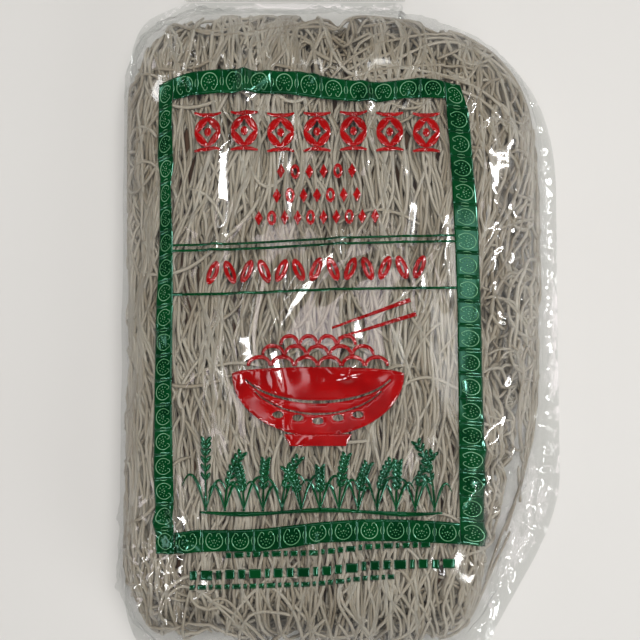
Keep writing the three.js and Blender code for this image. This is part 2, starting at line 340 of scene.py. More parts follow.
def tube(path, normal, radius):
    """A round strand along a path.

    Each ring is the path's point plus the radius times cos(a) along the side direction
    and sin(a) along the normal, for NOODLE_SIDES angles a. The first and the last ring are
    narrower and close on a point.
    """
    tangent = np.gradient(path, axis=0)
    side = unit(np.cross(tangent, normal))
    up = unit(np.cross(side, tangent))
    sides = np.arange(NOODLE_SIDES)
    following = (sides + 1) % NOODLE_SIDES
    angle = (2 * np.pi * sides / NOODLE_SIDES)[:, None]
    size = np.full((len(path), 1, 1), radius)
    size[[0, -1]] *= END_TAPER
    rings = path[:, None] + size * (np.cos(angle) * side[:, None] + np.sin(angle) * up[:, None])
    ring = NOODLE_SIDES * np.arange(len(path) - 1)[:, None]
    a, b = ring + sides, ring + following
    quads = np.stack([a, b, b + NOODLE_SIDES, a + NOODLE_SIDES], axis=-1).reshape(-1, 4)
    tip = NOODLE_SIDES * len(path)
    last = tip - NOODLE_SIDES
    fans = np.concatenate([
        np.stack([np.full(NOODLE_SIDES, tip), following, sides], axis=1),
        np.stack([np.full(NOODLE_SIDES, tip + 1), last + sides, last + following], axis=1)])
    return np.concatenate([rings.reshape(-1, 3), path[[0, -1]]]), quads, fans


# ---------------------------------------------------------------- the pile of noodles

# Where across its width a strand rests on the pile, as shares of its radius
LANES = np.linspace(-0.85, 0.85, 5)


class Pile:
    """The height of what lies on a sheet so far, on a square grid of cells. The film
    presses it down to the depth."""

    def __init__(self, half_x, half_y, depth):
        self.half = np.array([half_x, half_y])
        self.depth = depth
        self.heights = np.zeros((int(2 * half_x / STAMP_STEP) + 1, int(2 * half_y / STAMP_STEP) + 1))

    def cells(self, points):
        """The places in the grid of the cells that hold the points."""
        index = np.round((points + self.half) / STAMP_STEP).astype(int)
        index = np.clip(index, 0, np.array(self.heights.shape) - 1)
        return index[..., 0], index[..., 1]

    def lay(self, path, radius, sag):
        """Lays one strand: its centre rests on the highest thing under its width, smoothed
        along its length as a stiff strand would be, and the grid rises to its top."""
        side = left_of(path)
        lanes = LANES * radius
        lane_rise = np.sqrt(radius ** 2 - lanes ** 2)
        below = self.cells(path[:, None] + lanes[:, None] * side[:, None])
        rest = (self.heights[below] + lane_rise).max(axis=1)
        rest = blur_line(top_line(rest, 1), 2) - sag
        rest = np.clip(rest, radius, self.depth - radius)
        fine = np.linspace(0, len(path) - 1, int(len(path) * FINE_STEP / STAMP_STEP) + 1)
        centre, across = between(path, fine), between(side, fine)
        height = np.interp(fine, np.arange(len(path)), rest)
        covered = self.cells(centre[:, None] + lanes[:, None] * across[:, None])
        np.maximum.at(self.heights, covered, height[:, None] + lane_rise)
        return rest


def top_line(values, reach):
    """The highest value within reach places either way."""
    padded = np.pad(values, reach, mode="edge")
    return np.max([padded[i:i + len(values)] for i in range(2 * reach + 1)], axis=0)


def blur_line(values, reach):
    """A running mean taken twice."""
    kernel = np.ones(2 * reach + 1) / (2 * reach + 1)
    for _ in range(2):
        values = np.convolve(np.pad(values, reach, mode="edge"), kernel, mode="valid")
    return values


def blur_grid(grid, reach):
    """A running mean over a square, taken three times, by differences of running sums."""
    for axis in (0, 1) * 3:
        pad = [(reach + 1, reach) if a == axis else (0, 0) for a in (0, 1)]
        total = np.cumsum(np.pad(grid, pad, mode="edge"), axis=axis)
        upper = np.take(total, range(2 * reach + 1, total.shape[axis]), axis=axis)
        lower = np.take(total, range(0, total.shape[axis] - 2 * reach - 1), axis=axis)
        grid = (upper - lower) / (2 * reach + 1)
    return grid


def sample_grid(grid, x, y):
    """The value at (x, y) of a grid over the film, blended between its four nearest cells."""
    gx = np.clip((x + FILM_HALF[0]) / FILM_CELL, 0, grid.shape[0] - 1.001)
    gy = np.clip((y + FILM_HALF[1]) / FILM_CELL, 0, grid.shape[1] - 1.001)
    ix, iy = gx.astype(int), gy.astype(int)
    fx, fy = gx - ix, gy - iy
    return ((grid[ix, iy] * (1 - fx) + grid[ix + 1, iy] * fx) * (1 - fy)
            + (grid[ix, iy + 1] * (1 - fx) + grid[ix + 1, iy + 1] * fx) * fy)


def wavy(rng, at, waves):
    """A sum of sines over at, one for each (wavelength, height) pair, at random phases."""
    total = np.zeros_like(at)
    for length, height in waves:
        size = height * rng.uniform(0.5, 1.3)
        wavelength = length * rng.uniform(0.8, 1.25)
        total += size * np.sin(2 * np.pi * at / wavelength + rng.uniform(0, 6.28))
    return total


def longest_run(path, keep):
    """The longest unbroken run of a path's points for which keep is true."""
    inside = np.flatnonzero(keep)
    if not len(inside):
        return path[:0]
    runs = np.split(inside, np.flatnonzero(np.diff(inside) > 1) + 1)
    return path[max(runs, key=len)]


def on_block(path):
    """The longest run of a path that lies above the foot of the wall."""
    limit = FACE_SHARE + (1 - FACE_SHARE) * WALL_COVER
    return longest_run(path, share_of(path[:, 0], path[:, 1]) < limit)


def bent_in(path, edge):
    """The path with whatever runs past an edge, a share of the wall, bent back along it.

    A hyperbolic tangent leads the distance from the middle up to the edge's.
    """
    distance = np.hypot(path[:, 0], path[:, 1])
    limit = face_reach(np.arctan2(path[:, 1], path[:, 0])) + WALL_LENGTH * edge
    over = np.maximum(distance - limit + MARGIN_BEND, 0)
    bent = distance - over + MARGIN_BEND * np.tanh(over / MARGIN_BEND)
    return spaced(path * (bent / distance)[:, None], len(path))


def drift(home, y):
    """The slow combing that neighbours share: two sines of y, their phases moving with x."""
    return 3.4 * np.sin(y / 40 + home / 27) + 1.8 * np.sin(y / 21 - home / 15 + 2)


# A folded strand: half its width, how far its legs reach, the sway of its legs as
# wavelengths and heights, how much they slant, over what run both fade out before the turn,
# and how long the turn is for half its width
FOLD_WIDTH = (2.5, 11)
LEG_REACH = (96, 150)
SWAY_WAVES = [(110, 3.4), (46, 2.1), (25, 0.8)]
LEG_SLANT = 0.045
FADE_RUN = 30
TURN_STRETCH = (0.7, 1.6)

# A loop: how it is stretched in x and y, how far its middle drifts, and how uneven it is
LOOP_STRETCH = (0.85, 1.25)
LOOP_DRIFT = 9
LOOP_UNEVEN = 0.16


def folded_paths(rng, count, homes, tips, spread):
    """Noodles folded in two: up the pack, round at the tip, and back down beside it.

    Each leg shares the drift of its neighbourhood and sways by itself, and both fade out
    towards the tip, where the turn is half an ellipse. Every other noodle is turned end
    for end.
    """
    homes = rng.permutation(np.linspace(*homes, count)) + rng.normal(0, 1.0, count)
    for i, home in enumerate(homes):
        width = rng.uniform(*FOLD_WIDTH)
        tip = rng.uniform(*tips)
        runs = []
        for side in (1, -1):
            y = np.arange(-rng.uniform(*LEG_REACH), tip, FINE_STEP)
            ease = smoothstep((tip - y) / FADE_RUN)
            sway = wavy(rng, y, [(length, height * spread) for length, height in SWAY_WAVES])
            sway += rng.normal(0, LEG_SLANT) * (tip - y)
            x = home + side * width + ease * (drift(home + side * width, y) + sway)
            runs.append(np.stack([x, y], axis=1))
        turn = np.linspace(0, np.pi, 30)
        height = width * rng.uniform(*TURN_STRETCH)
        bend = np.stack([home + width * np.cos(turn), tip + height * np.sin(turn)], axis=1)
        path = np.concatenate([runs[0], bend, runs[1][::-1]])
        length = np.linalg.norm(np.diff(path, axis=0), axis=1).sum()
        yield spaced(path, int(length / FINE_STEP)) * [1, 1 if i % 2 else -1]


def loop_paths(rng, count, middle_x, middle_y, size, turns, starts=(0, 2 * np.pi)):
    """Loose loops: part of an uneven ellipse, from an angle among the starts, whose middle
    drifts as it turns. The turns are counted in half circles, either way round."""
    for _ in range(count):
        start = rng.uniform(*starts)
        turn = rng.uniform(*turns) * np.pi * rng.choice([-1, 1])
        reach = rng.uniform(*size, 2) * LOOP_STRETCH
        steps = int(abs(turn) * reach.mean() / FINE_STEP)
        angle = start + np.linspace(0, turn, steps)
        middle = np.array([rng.uniform(*middle_x), rng.uniform(*middle_y)])
        travel = np.linspace(-1, 1, steps)[:, None] * rng.uniform(-LOOP_DRIFT, LOOP_DRIFT, 2)
        uneven = 1 + LOOP_UNEVEN * np.sin(angle * 2.3 + start)[:, None]
        yield middle + travel + uneven * reach * np.stack([np.cos(angle), np.sin(angle)], axis=1)


def sink(x, y):
    """How much deeper the pile reaches towards the sides and both ends, where it is loose."""
    return np.maximum.reduce([
        depth * smoothstep((at - start) / run)
        for at, (depth, start, run) in ((x, LOOSE_RIGHT), (-x, LOOSE_LEFT), (np.abs(y), LOOSE_END))])


def on_base(path):
    """The longest run of a path over the underside, within a share of the block's outline."""
    return longest_run(path, outline_share(path[:, 0], path[:, 1]) < UNDER_COVER)


# How the noodles are laid, one row after another: the kind of piece, how far each strand
# sinks into what it rests on, the function that makes the paths, and what it is given. A
# negative sag holds a strand off what is below, as springy loops do.
LAYERS = [
    ("low", 0.45, folded_paths, (82, (-98, 78), (84, 130), 1.3)),
    ("side_loop", -0.5, loop_paths, (50, (54, 102), (-95, 95), (8, 18), (0.8, 1.8))),
    ("end_loop", -0.2, loop_paths, (34, (-62, 44), (-134, -104), (12, 30), (0.8, 1.4))),
    ("end_loop", -0.2, loop_paths, (34, (-62, 50), (104, 134), (10, 24), (0.8, 1.4))),
    ("middle", 0.45, folded_paths, (80, (-92, 62), (80, 126), 1.15)),
    ("side_loop", -0.5, loop_paths, (54, (56, 102), (-95, 95), (7, 16), (0.8, 1.8))),
    ("top", 0.45, folded_paths, (78, (-84, 54), (72, 118), 1.0)),
    ("side_loop", -0.5, loop_paths, (46, (58, 104), (-88, 90), (6, 15), (0.8, 1.8))),
    ("end_loop", -0.2, loop_paths, (30, (-60, 44), (-128, -94), (12, 30), (0.7, 1.2))),
    ("end_loop", -0.2, loop_paths, (40, (-50, 52), (86, 130), (8, 22), (0.7, 1.3))),
    ("side_loop", -0.2, loop_paths, (40, (-102, -72), (-100, 100), (6, 16), (0.6, 1.3))),
    ("stray", 0.3, loop_paths, (30, (-60, 50), (-86, 92), (9, 26), (0.3, 0.8))),
    ("underside", 0.4, folded_paths, (88, (-66, 60), (78, 108), 1.0)),
    ("loose", 0.3, loop_paths, (30, (80, 98), (-44, 94), (8, 20), (0.8, 1.8))),
    ("loose", 0.3, loop_paths, (6, (24, 36), (-50, -34), (60, 74), (0.14, 0.26), (-0.8, -0.4))),
    ("side_loop", -0.5, loop_paths, (18, (24, 44), (34, 60), (34, 54), (0.35, 0.6), (0.1, 1.2))),
]

# How far apart the rings of each kind's strands are
RING_STEPS = {
    "low": 4.0, "middle": 3.6, "top": 3.2, "side_loop": 2.2,
    "end_loop": 2.6, "stray": 2.4, "underside": 4.8, "loose": 2.4}


def build_noodles(rng):
    """Lays all noodles one after another: (kind, path, height, radius, tone) for each."""
    block = (Pile(*FILM_HALF, PILE_DEPTH), on_block)
    sheets = {
        "underside": (Pile(80, 115, UNDER_DEPTH), on_base),
        "loose": (Pile(*FILM_HALF, MARGIN_DEPTH), lambda path: bent_in(path, rng.uniform(*MARGIN_EDGES))),
    }
    laid = []
    for kind, sag, make_paths, given in LAYERS:
        pile, within = sheets.get(kind, block)
        for path in make_paths(rng, *given):
            path = within(path)
            if len(path) * FINE_STEP < SHORTEST:
                continue
            radius = NOODLE_RADIUS * rng.uniform(0.9, 1.1)
            rest = pile.lay(path, radius, sag)
            laid.append((kind, path, rest, radius, rng.uniform(0, 1)))
    return laid


def strand_points(kind, x, y, height):
    """Centres and outward directions of strand points that lie height over their sheet:
    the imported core's surface for most, the film's back for those underneath, and for those
    loose in the margin a sheet drawn out towards the film's edge."""
    if kind == "underside":
        rise = UNDER_RISE * smoothstep((outline_share(x, y) - UNDER_RISE_FROM) / UNDER_RISE_RUN)
        level = BACK_HEIGHT + UNDER_GAP + height + rise
        return np.stack([x, y, level], axis=1), np.tile([0, 0, 1.0], (len(x), 1))
    if kind == "loose":
        return lifted_point(x, y, height - MARGIN_SINK, MARGIN_FLARE)
    return lifted_point(x, y, height + CORE_LEVEL - sink(x, y) * (1 - height / PILE_DEPTH))


def make_noodle_pieces(strands, material):
    """Turns the strands into tubes, one mesh for each kind, a ring every few millimetres.
    Each strand's points carry its tone."""
    for kind, step in RING_STEPS.items():
        parts, tones = [], []
        for _, path, rest, radius, tone in (strand for strand in strands if strand[0] == kind):
            count = max(6, int(len(path) * FINE_STEP / step))
            places = np.linspace(0, len(path) - 1, count)
            height = np.interp(places, np.arange(len(path)), rest)
            centre, normal = strand_points(kind, *between(path, places).T, height)
            parts.append(tube(centre, normal, radius))
            tones.append(np.full(len(parts[-1][0]), tone))
        piece = add_mesh("noodles_" + kind, *joined(parts), attributes={"tone": np.concatenate(tones)})
        finish_piece(piece, material)


# ---------------------------------------------------------------- the film

# The eye looks down on the face from a few degrees short of upright, towards the top end
EYE_TARGET = np.array([-8.0, 0.0, PACK_HEIGHT])
EYE_DISTANCE = 400.0
EYE_ELEVATION = math.radians(86)
EYE_FORWARD = np.array([0, math.cos(EYE_ELEVATION), -math.sin(EYE_ELEVATION)])
EYE_UP = np.array([0, math.sin(EYE_ELEVATION), math.cos(EYE_ELEVATION)])
EYE = EYE_TARGET - EYE_FORWARD * EYE_DISTANCE
VIEW_WIDTH = 204.8

# The print is drawn on a square grid of units that the eye sees over the pack
GRID_UNITS = 640
GRID_UNIT = VIEW_WIDTH / GRID_UNITS


def from_grid(points):
    """Print grid units, counted from the upper left, to millimetres on the eye's plane."""
    points = np.asarray(points, float)
    return (points - GRID_UNITS / 2) * [GRID_UNIT, -GRID_UNIT] + EYE_TARGET[:2]


def as_seen(points):
    """Where the eye sees points, on the plane square to its view that holds its target."""
    away = points - EYE
    depth = away @ EYE_FORWARD
    across = EYE_DISTANCE * away[..., 0] / depth
    along = EYE_DISTANCE * (away @ EYE_UP) / depth
    return np.stack([across, along], axis=-1) + EYE_TARGET[:2]


FILM_X, FILM_Y = np.meshgrid(
    *(np.arange(-half, half + FILM_CELL / 2, FILM_CELL) for half in FILM_HALF), indexing="ij")
FILM_SHARE = share_of(FILM_X, FILM_Y)

# How far each point of the sheet seems to be from its own place, smoothed a little
SEEN_SHIFT = as_seen(block_point(FILM_X, FILM_Y, 1.0)) - np.stack([FILM_X, FILM_Y], axis=-1)
SEEN_SHIFT = np.stack([blur_grid(SEEN_SHIFT[..., i], 3) for i in (0, 1)], axis=-1)


def sheet_under(seen):
    """The sheet points that the eye sees at the given places, by repeated correction."""
    at = seen.copy()
    for _ in range(25):
        shift = [sample_grid(SEEN_SHIFT[..., i], at[:, 0], at[:, 1]) for i in (0, 1)]
        at = 0.4 * at + 0.6 * (seen - np.stack(shift, axis=1))
    return at


RIDGE_STEP = 0.6


def ridge(lift, line, height, width):
    """Adds a crease along a line: its height falls off as exp(-(distance / width)^2), and
    fades towards both ends."""
    line = spaced(np.asarray(line, float), max(8, int(np.ptp(line, axis=0).max() / RIDGE_STEP)))
    low = np.clip(((line.min(axis=0) - 3 * width + FILM_HALF) / FILM_CELL).astype(int), 0, None)
    high = ((line.max(axis=0) + 3 * width + FILM_HALF) / FILM_CELL).astype(int) + 1
    window = (slice(low[0], high[0]), slice(low[1], high[1]))
    x, y = FILM_X[window], FILM_Y[window]
    if x.size == 0:
        return
    gap = np.hypot(x[..., None] - line[:, 0], y[..., None] - line[:, 1])
    nearest = gap.argmin(axis=-1)
    fade = np.sin(np.pi * (nearest + 0.5) / len(line)) ** 0.6
    lift[window] += height * fade * np.exp(-(gap.min(axis=-1) / width) ** 2)


def zone(x_edge, x_run, y_edge, y_run):
    """1 beyond an edge in x and in y, falling to 0 over the runs; a run's sign gives its side."""
    return smoothstep((FILM_X - x_edge) / x_run + 0.5) * smoothstep((FILM_Y - y_edge) / y_run + 0.5)


def folded(rng, height, size, count):
    """Crumpling: the mean of folded waves, each |triangle wave| along its own warped
    direction."""
    total = np.zeros_like(FILM_X)
    for _ in range(count):
        turn = rng.uniform(0, np.pi)
        length = size * rng.uniform(0.6, 1.6)
        along = FILM_X * np.cos(turn) + FILM_Y * np.sin(turn)
        across = FILM_Y * np.cos(turn) - FILM_X * np.sin(turn)
        warp = 0.35 * np.sin(across / length * rng.uniform(0.7, 1.6) + rng.uniform(0, 6.28))
        wave = (along / length + warp + rng.uniform(0, 1)) % 1
        total += np.abs(wave - 0.5) * length / size
    return height * (total / count - 0.25)


# Creases over the face, the slack margin and the corners, in print grid units: points
# along each, then its height and width in mm
CREASES = [
    ([(222, 112), (217, 165), (218, 200), (214, 262)], 3.5, 2.6),
    ([(246, 50), (244, 90), (250, 130)], 2.7, 2.1),
    ([(278, 60), (258, 84), (238, 102)], 1.2, 1.7),
    ([(290, 132), (284, 172), (286, 222)], 1.7, 1.6),
    ([(256, 258), (242, 296), (237, 336), (246, 386)], 3.4, 2.6),
    ([(282, 264), (272, 312), (268, 350), (280, 402)], 2.5, 1.9),
    ([(352, 228), (318, 262), (290, 300), (268, 342)], 2.4, 2.3),
    ([(396, 256), (356, 272), (318, 300)], 1.7, 1.8),
    ([(320, 384), (352, 376), (390, 360)], 1.1, 1.6),
    ([(354, 50), (366, 100), (374, 144)], 1.35, 1.7),
    ([(396, 130), (404, 170), (408, 205), (404, 248)], 1.3, 2.2),
    ([(446, 228), (442, 270), (448, 313)], 0.7, 1.6),
    ([(402, 288), (390, 330), (396, 370)], 1.4, 1.8),
    ([(206, 360), (202, 430), (210, 504)], 1.9, 1.6),
    ([(222, 330), (216, 368), (224, 410)], 1.7, 1.5),
    ([(300, 350), (330, 372), (372, 384)], 0.9, 1.8),
    ([(346, 300), (354, 340), (346, 386)], 1.7, 1.9),
    ([(180, 500), (172, 535), (168, 562)], 1.0, 1.6),
    ([(492, 430), (486, 480), (500, 524)], 1.2, 1.9),
    ([(506, 118), (512, 150), (524, 182)], 1.0, 1.6),
    ([(482, 100), (488, 145), (491, 190), (491, 250)], 1.5, 5.6),
    ([(503, 130), (506, 165), (508, 200)], 0.9, 2.0),
    ([(168, 20), (186, 44), (196, 74)], 1.2, 1.5),
    ([(150, 40), (172, 36), (206, 28)], 1.1, 1.4),
    ([(140, 560), (160, 590), (176, 632)], 1.2, 1.5),
]


# Random creases on the sheet in mm, then in print grid units: how many, the two corners of
# the field they start in, their direction and its spread in radians, their reach, how far
# they bend, and their height and width in mm
SHEET_CREASES = [
    (150, (-85, -125), (85, 125), (np.pi / 2, 0.45), (3, 14), 1.5, (0.04, 0.16), (0.8, 1.5)),
    (54, (-62, -105), (48, 105), (np.pi / 2, 0.35), (1.5, 7), 0.6, (0.6, 1.2), (1.0, 1.4)),
]
FLAP_CREASES = [(44, (486, 410), (552, 600), (1.95, 0.3), (24, 70), 5, (0.5, 1.2), (1.2, 1.8))]
CORNER_CREASES = [
    (36, (484, 66), (526, 380), (1.57, 0.35), (8, 26), 2, (0.5, 1.1), (1.0, 1.6)),
    (70, (114, 500), (186, 622), (1.0, 0.8), (8, 26), 2, (0.5, 1.1), (1.0, 1.6)),
    (26, (134, 6), (206, 66), (2.3, 0.5), (8, 26), 2, (0.5, 1.1), (1.0, 1.6)),
]

# Gathers at both ends: the side, and where they spread from and to in x. Then how many each
# end has, how far along the pack they start and end, how far they lean, and their height
# and width
GATHERS = [(1, -62, 42), (-1, -66, 46)]
GATHERS_EACH = 46
GATHER_NEAR, GATHER_FAR, GATHER_LEAN = (98, 112), (126, 142), 6
GATHER_HEIGHT, GATHER_WIDTH = (0.25, 0.9), (0.8, 1.6)

# How far the film stands over the block at rest, and the height and size in mm and the
# number of the waves that it is folded in, everywhere and where it is slack
REST_LIFT = 0.3
FACETS, COARSE_CRUMPLE, FINE_CRUMPLE = (2.0, 30, 6), (3.6, 9, 7), (2.2, 4, 7)

# The spot on the face where the film is taut: its middle, its reach and how calm it is
TAUT_X, TAUT_Y, TAUT_WIDTH, TAUT_LENGTH, TAUT_CALM = -10, -6, 27, 15, 0.8

# Where it is slack: how much, and the zone's edge and run in x and in y
SLACK_ZONES = [
    (1, 60, 12, -36, -24), (1, -42, -16, 88, 14), (1, -50, -14, -76, -18), (0.55, 48, 16, 92, 16)]

# From which share of the section, over what run, it comes down to the block's surface
SETTLE_FROM, SETTLE_RUN = 0.97, 0.03


def crease_on_sheet(start, reach, bend):
    """A crease's line on the sheet, either way from its start."""
    return [start - reach, start + bend, start + reach]


def crease_as_seen(start, reach, bend):
    """A crease's line from its start in print grid units, as the eye sees it."""
    return sheet_under(from_grid([start, start + reach / 2 + bend, start + reach]))


def scatter_creases(rng, lift, rows, line):
    """Adds random creases by the rows of a table, each along the line of its start, reach
    and bend."""
    for count, low, high, direction, reach, bend, height, width in rows:
        for _ in range(count):
            start = rng.uniform(low, high)
            turn = rng.normal(*direction)
            run = rng.uniform(*reach) * np.array([np.cos(turn), np.sin(turn)])
            points = line(start, run, rng.normal(0, bend, 2))
            ridge(lift, points, rng.uniform(*height), rng.uniform(*width))


def gather_ends(rng, lift):
    """Adds the creases that fan in from the seal at each end."""
    for side, left, right in GATHERS:
        for _ in range(GATHERS_EACH):
            x = rng.uniform(left, right)
            lean = rng.normal(0, GATHER_LEAN)
            near, far = side * rng.uniform(*GATHER_NEAR), side * rng.uniform(*GATHER_FAR)
            line = [(x, near), (x + lean * 0.5, (near + far) / 2), (x + lean, far)]
            ridge(lift, line, rng.uniform(*GATHER_HEIGHT), rng.uniform(*GATHER_WIDTH))


def slack_zones():
    """How slack the film is, from 0 to 1: most at the two lower corners and the upper left
    one, less at the upper right and along the foot of the right wall, little on the right."""
    corners = [slack * zone(*edges) for slack, *edges in SLACK_ZONES]
    right_foot = 0.5 * smoothstep((FILM_SHARE - 0.86) / 0.1) * (FILM_X > 0)
    right_side = 0.16 * smoothstep((FILM_X - 46) / 12)
    return np.maximum.reduce([*corners, right_foot, right_side])


def build_film_lift(rng):
    """How far the film stands over the block's surface, on the grid over the sheet, and how
    slack it is there.

    It is drawn over the pressed noodles in shallow facets, flatter round the taut spot, and
    lifted by listed and random creases, by gathers at the ends, and by folds at the slack
    flap, the shoulder and the left corners. Where it is slack it is crumpled, coarse and
    fine. It comes down to the block's surface at the folded edge.
    """
    off_x, off_y = (FILM_X - TAUT_X) / TAUT_WIDTH, (FILM_Y - TAUT_Y) / TAUT_LENGTH
    taut = np.exp(-(off_x ** 2 + off_y ** 2) ** 2)
    lift = REST_LIFT + folded(rng, *FACETS) * (1 - TAUT_CALM * taut)
    for line, height, width in CREASES:
        ridge(lift, sheet_under(from_grid(line)), height, width)
    scatter_creases(rng, lift, SHEET_CREASES, crease_on_sheet)
    gather_ends(rng, lift)
    scatter_creases(rng, lift, FLAP_CREASES, crease_as_seen)
    slack = slack_zones()
    lift += slack * (folded(rng, *COARSE_CRUMPLE) + folded(rng, *FINE_CRUMPLE))
    scatter_creases(rng, lift, CORNER_CREASES, crease_as_seen)
    return lift * (1 - smoothstep((FILM_SHARE - SETTLE_FROM) / SETTLE_RUN)), slack


film_lift, film_slack = build_film_lift(np.random.default_rng(SEED + 1))


def film_point(sheet, above=0.0):
    """Points on the film for sheet points, a little above it where asked."""
    x, y = sheet[..., 0], sheet[..., 1]
    lift = sample_grid(film_lift, x, y) + above
    return lifted_point(x, y, lift, 1.0)[0]


# The proportions by which a square's corners are drawn to the sheet's, and how many cells
# across and along, and rings below, the film and the core have. Then the level of the
# core's underside, the lowest of its top, and how crumpled the film's back is
SHEET_WIDE, SHEET_LONG = 95, 132
FILM_CELLS, FILM_RINGS = (252, 346), 10
CORE_CELLS, CORE_RINGS = (90, 130), 8
CORE_FOOT, CORE_LOWEST = 3.6, 3.8
BACK_CRUMPLE = 0.15


def film_sheet(across, along):
    """Sheet points of the front: a square's rings drawn out to the rings of the sheet."""
    a, b = np.meshgrid(np.linspace(-1, 1, across + 1), np.linspace(-1, 1, along + 1), indexing="ij")
    theta = np.arctan2(b * SHEET_LONG, a * SHEET_WIDE)
    ring = np.maximum(np.abs(a), np.abs(b))
    distance = ring * (face_reach(theta) + WALL_LENGTH)
    return np.stack([distance * np.cos(theta), distance * np.sin(theta)], axis=-1)


def grid_faces(across, along):
    """Quads of a grid of points, stored column by column."""
    i, j = np.meshgrid(np.arange(across), np.arange(along), indexing="ij")
    first = (i * (along + 1) + j).ravel()
    return np.stack([first, first + along + 1, first + along + 2, first + 1], axis=1)


def border_loop(across, along):
    """The grid's border as one loop, counter-clockwise."""
    index = np.arange((across + 1) * (along + 1)).reshape(across + 1, along + 1)
    return np.concatenate([index[:-1, 0], index[-1, :-1], index[:0:-1, -1], index[0, :0:-1]])


def close_below(points, loop, foot, rings):
    """Rings from a border loop in under the pack: the height falls to the foot's on the
    first sixth of the way and the rings shrink to a centre, by a power of their share.
    Returns the new points, their quads and the last fan."""
    border = points[loop]
    made, quads, previous = [], [], loop
    start = len(points)
    for ring in range(1, rings):
        part = (ring / rings) ** 1.6
        shrunk = border * (1 - part)
        shrunk[:, 2] = border[:, 2] + (foot - border[:, 2]) * smoothstep(part * 6)
        made.append(shrunk)
        current = start + (ring - 1) * len(loop) + np.arange(len(loop))
        corners = [previous, current, np.roll(current, -1), np.roll(previous, -1)]
        quads.append(np.stack(corners, axis=1))
        previous = current
    centre = start + (rings - 1) * len(loop)
    made.append(np.array([[0, 0, foot]]))
    fan = np.stack([previous, np.full(len(loop), centre), np.roll(previous, -1)], axis=1)
    return np.concatenate(made), np.concatenate(quads), fan


def make_film(material):
    """The closed film: the creased front, and a plain back with a sharp fold between them.
    Its points carry how crumpled it is."""
    sheet = film_sheet(*FILM_CELLS).reshape(-1, 2)
    front = film_point(sheet)
    loop = border_loop(*FILM_CELLS)
    below, below_quads, fan = close_below(front, loop, BACK_HEIGHT, FILM_RINGS)
    crumple = sample_grid(film_slack, sheet[:, 0], sheet[:, 1])
    crumple = np.concatenate([crumple, np.full(len(below), BACK_CRUMPLE)])
    quads = np.concatenate([grid_faces(*FILM_CELLS), below_quads])
    piece = add_mesh("film", np.concatenate([front, below]), quads, fan,
                     attributes={"crumple": crumple}, fold=loop)
    finish_piece(piece, material)


def make_core(material):
    """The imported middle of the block, under the noodles that show."""
    x, y = film_sheet(*CORE_CELLS).reshape(-1, 2).T
    top = lifted_point(x, y, CORE_LEVEL - sink(x, y))[0]
    top[:, 2] = np.maximum(top[:, 2], CORE_LOWEST)
    below, below_quads, fan = close_below(top, border_loop(*CORE_CELLS), CORE_FOOT, CORE_RINGS)
    quads = np.concatenate([grid_faces(*CORE_CELLS), below_quads])
    finish_piece(add_mesh("packed_core", np.concatenate([top, below]), quads, fan), material)


# The seals: the end, and where each begins and ends in x. Then the step across them and
# the cells along, the ribs' pitch and height, the ripples' height and number, the thickness
SEALS = [(1, -56, 22), (-1, -60, 46)]
SEAL_STEP, SEAL_CELLS = 0.35, 14
RIB_PITCH, RIB_HEIGHT = 1.4, 0.16
RIPPLE_HEIGHT, RIPPLES = 0.9, 4
SEAL_THICKNESS = 0.2


def make_seals(material):
    """The crimped seals: strips with fine ribs across them and a slow ripple along them."""
    parts = []
    for side, left, right in SEALS:
        across = int((right - left) / SEAL_STEP)
        x, v = np.meshgrid(
            np.linspace(left, right, across + 1), np.linspace(0.05, 1, SEAL_CELLS + 1), indexing="ij")
        y = side * (SEAL_LINE + SEAL_LENGTH * v)
        turn = 2 * np.pi * RIPPLES * (x - left) / (right - left)
        ripple = RIPPLE_HEIGHT * np.sin(turn) * smoothstep(v * 1.2)
        fade = smoothstep(v * 8) * smoothstep((0.94 - v) * 12)
        ribs = RIB_HEIGHT * np.sin(2 * np.pi * x / RIB_PITCH) * fade
        faces = grid_faces(across, SEAL_CELLS)
        strip = np.stack([x, y, SEAL_HEIGHT + ripple + ribs], axis=-1).reshape(-1, 3)
        parts.append((strip, faces if side > 0 else faces[:, ::-1]))
    piece = add_mesh("crimped_seals", *joined(parts))
    thicken(piece, SEAL_THICKNESS, 0)
    finish_piece(piece, material)


# ---------------------------------------------------------------- materials

class Socket:
    """A shader output that can be added and multiplied into further nodes."""

    def __init__(self, graph, socket):
        self.graph = graph
        self.socket = socket

    def __add__(self, other):
        return self.graph.math("ADD", self, other)

    def __mul__(self, other):
        return self.graph.math("MULTIPLY", self, other)

    __radd__ = __add__
    __rmul__ = __mul__


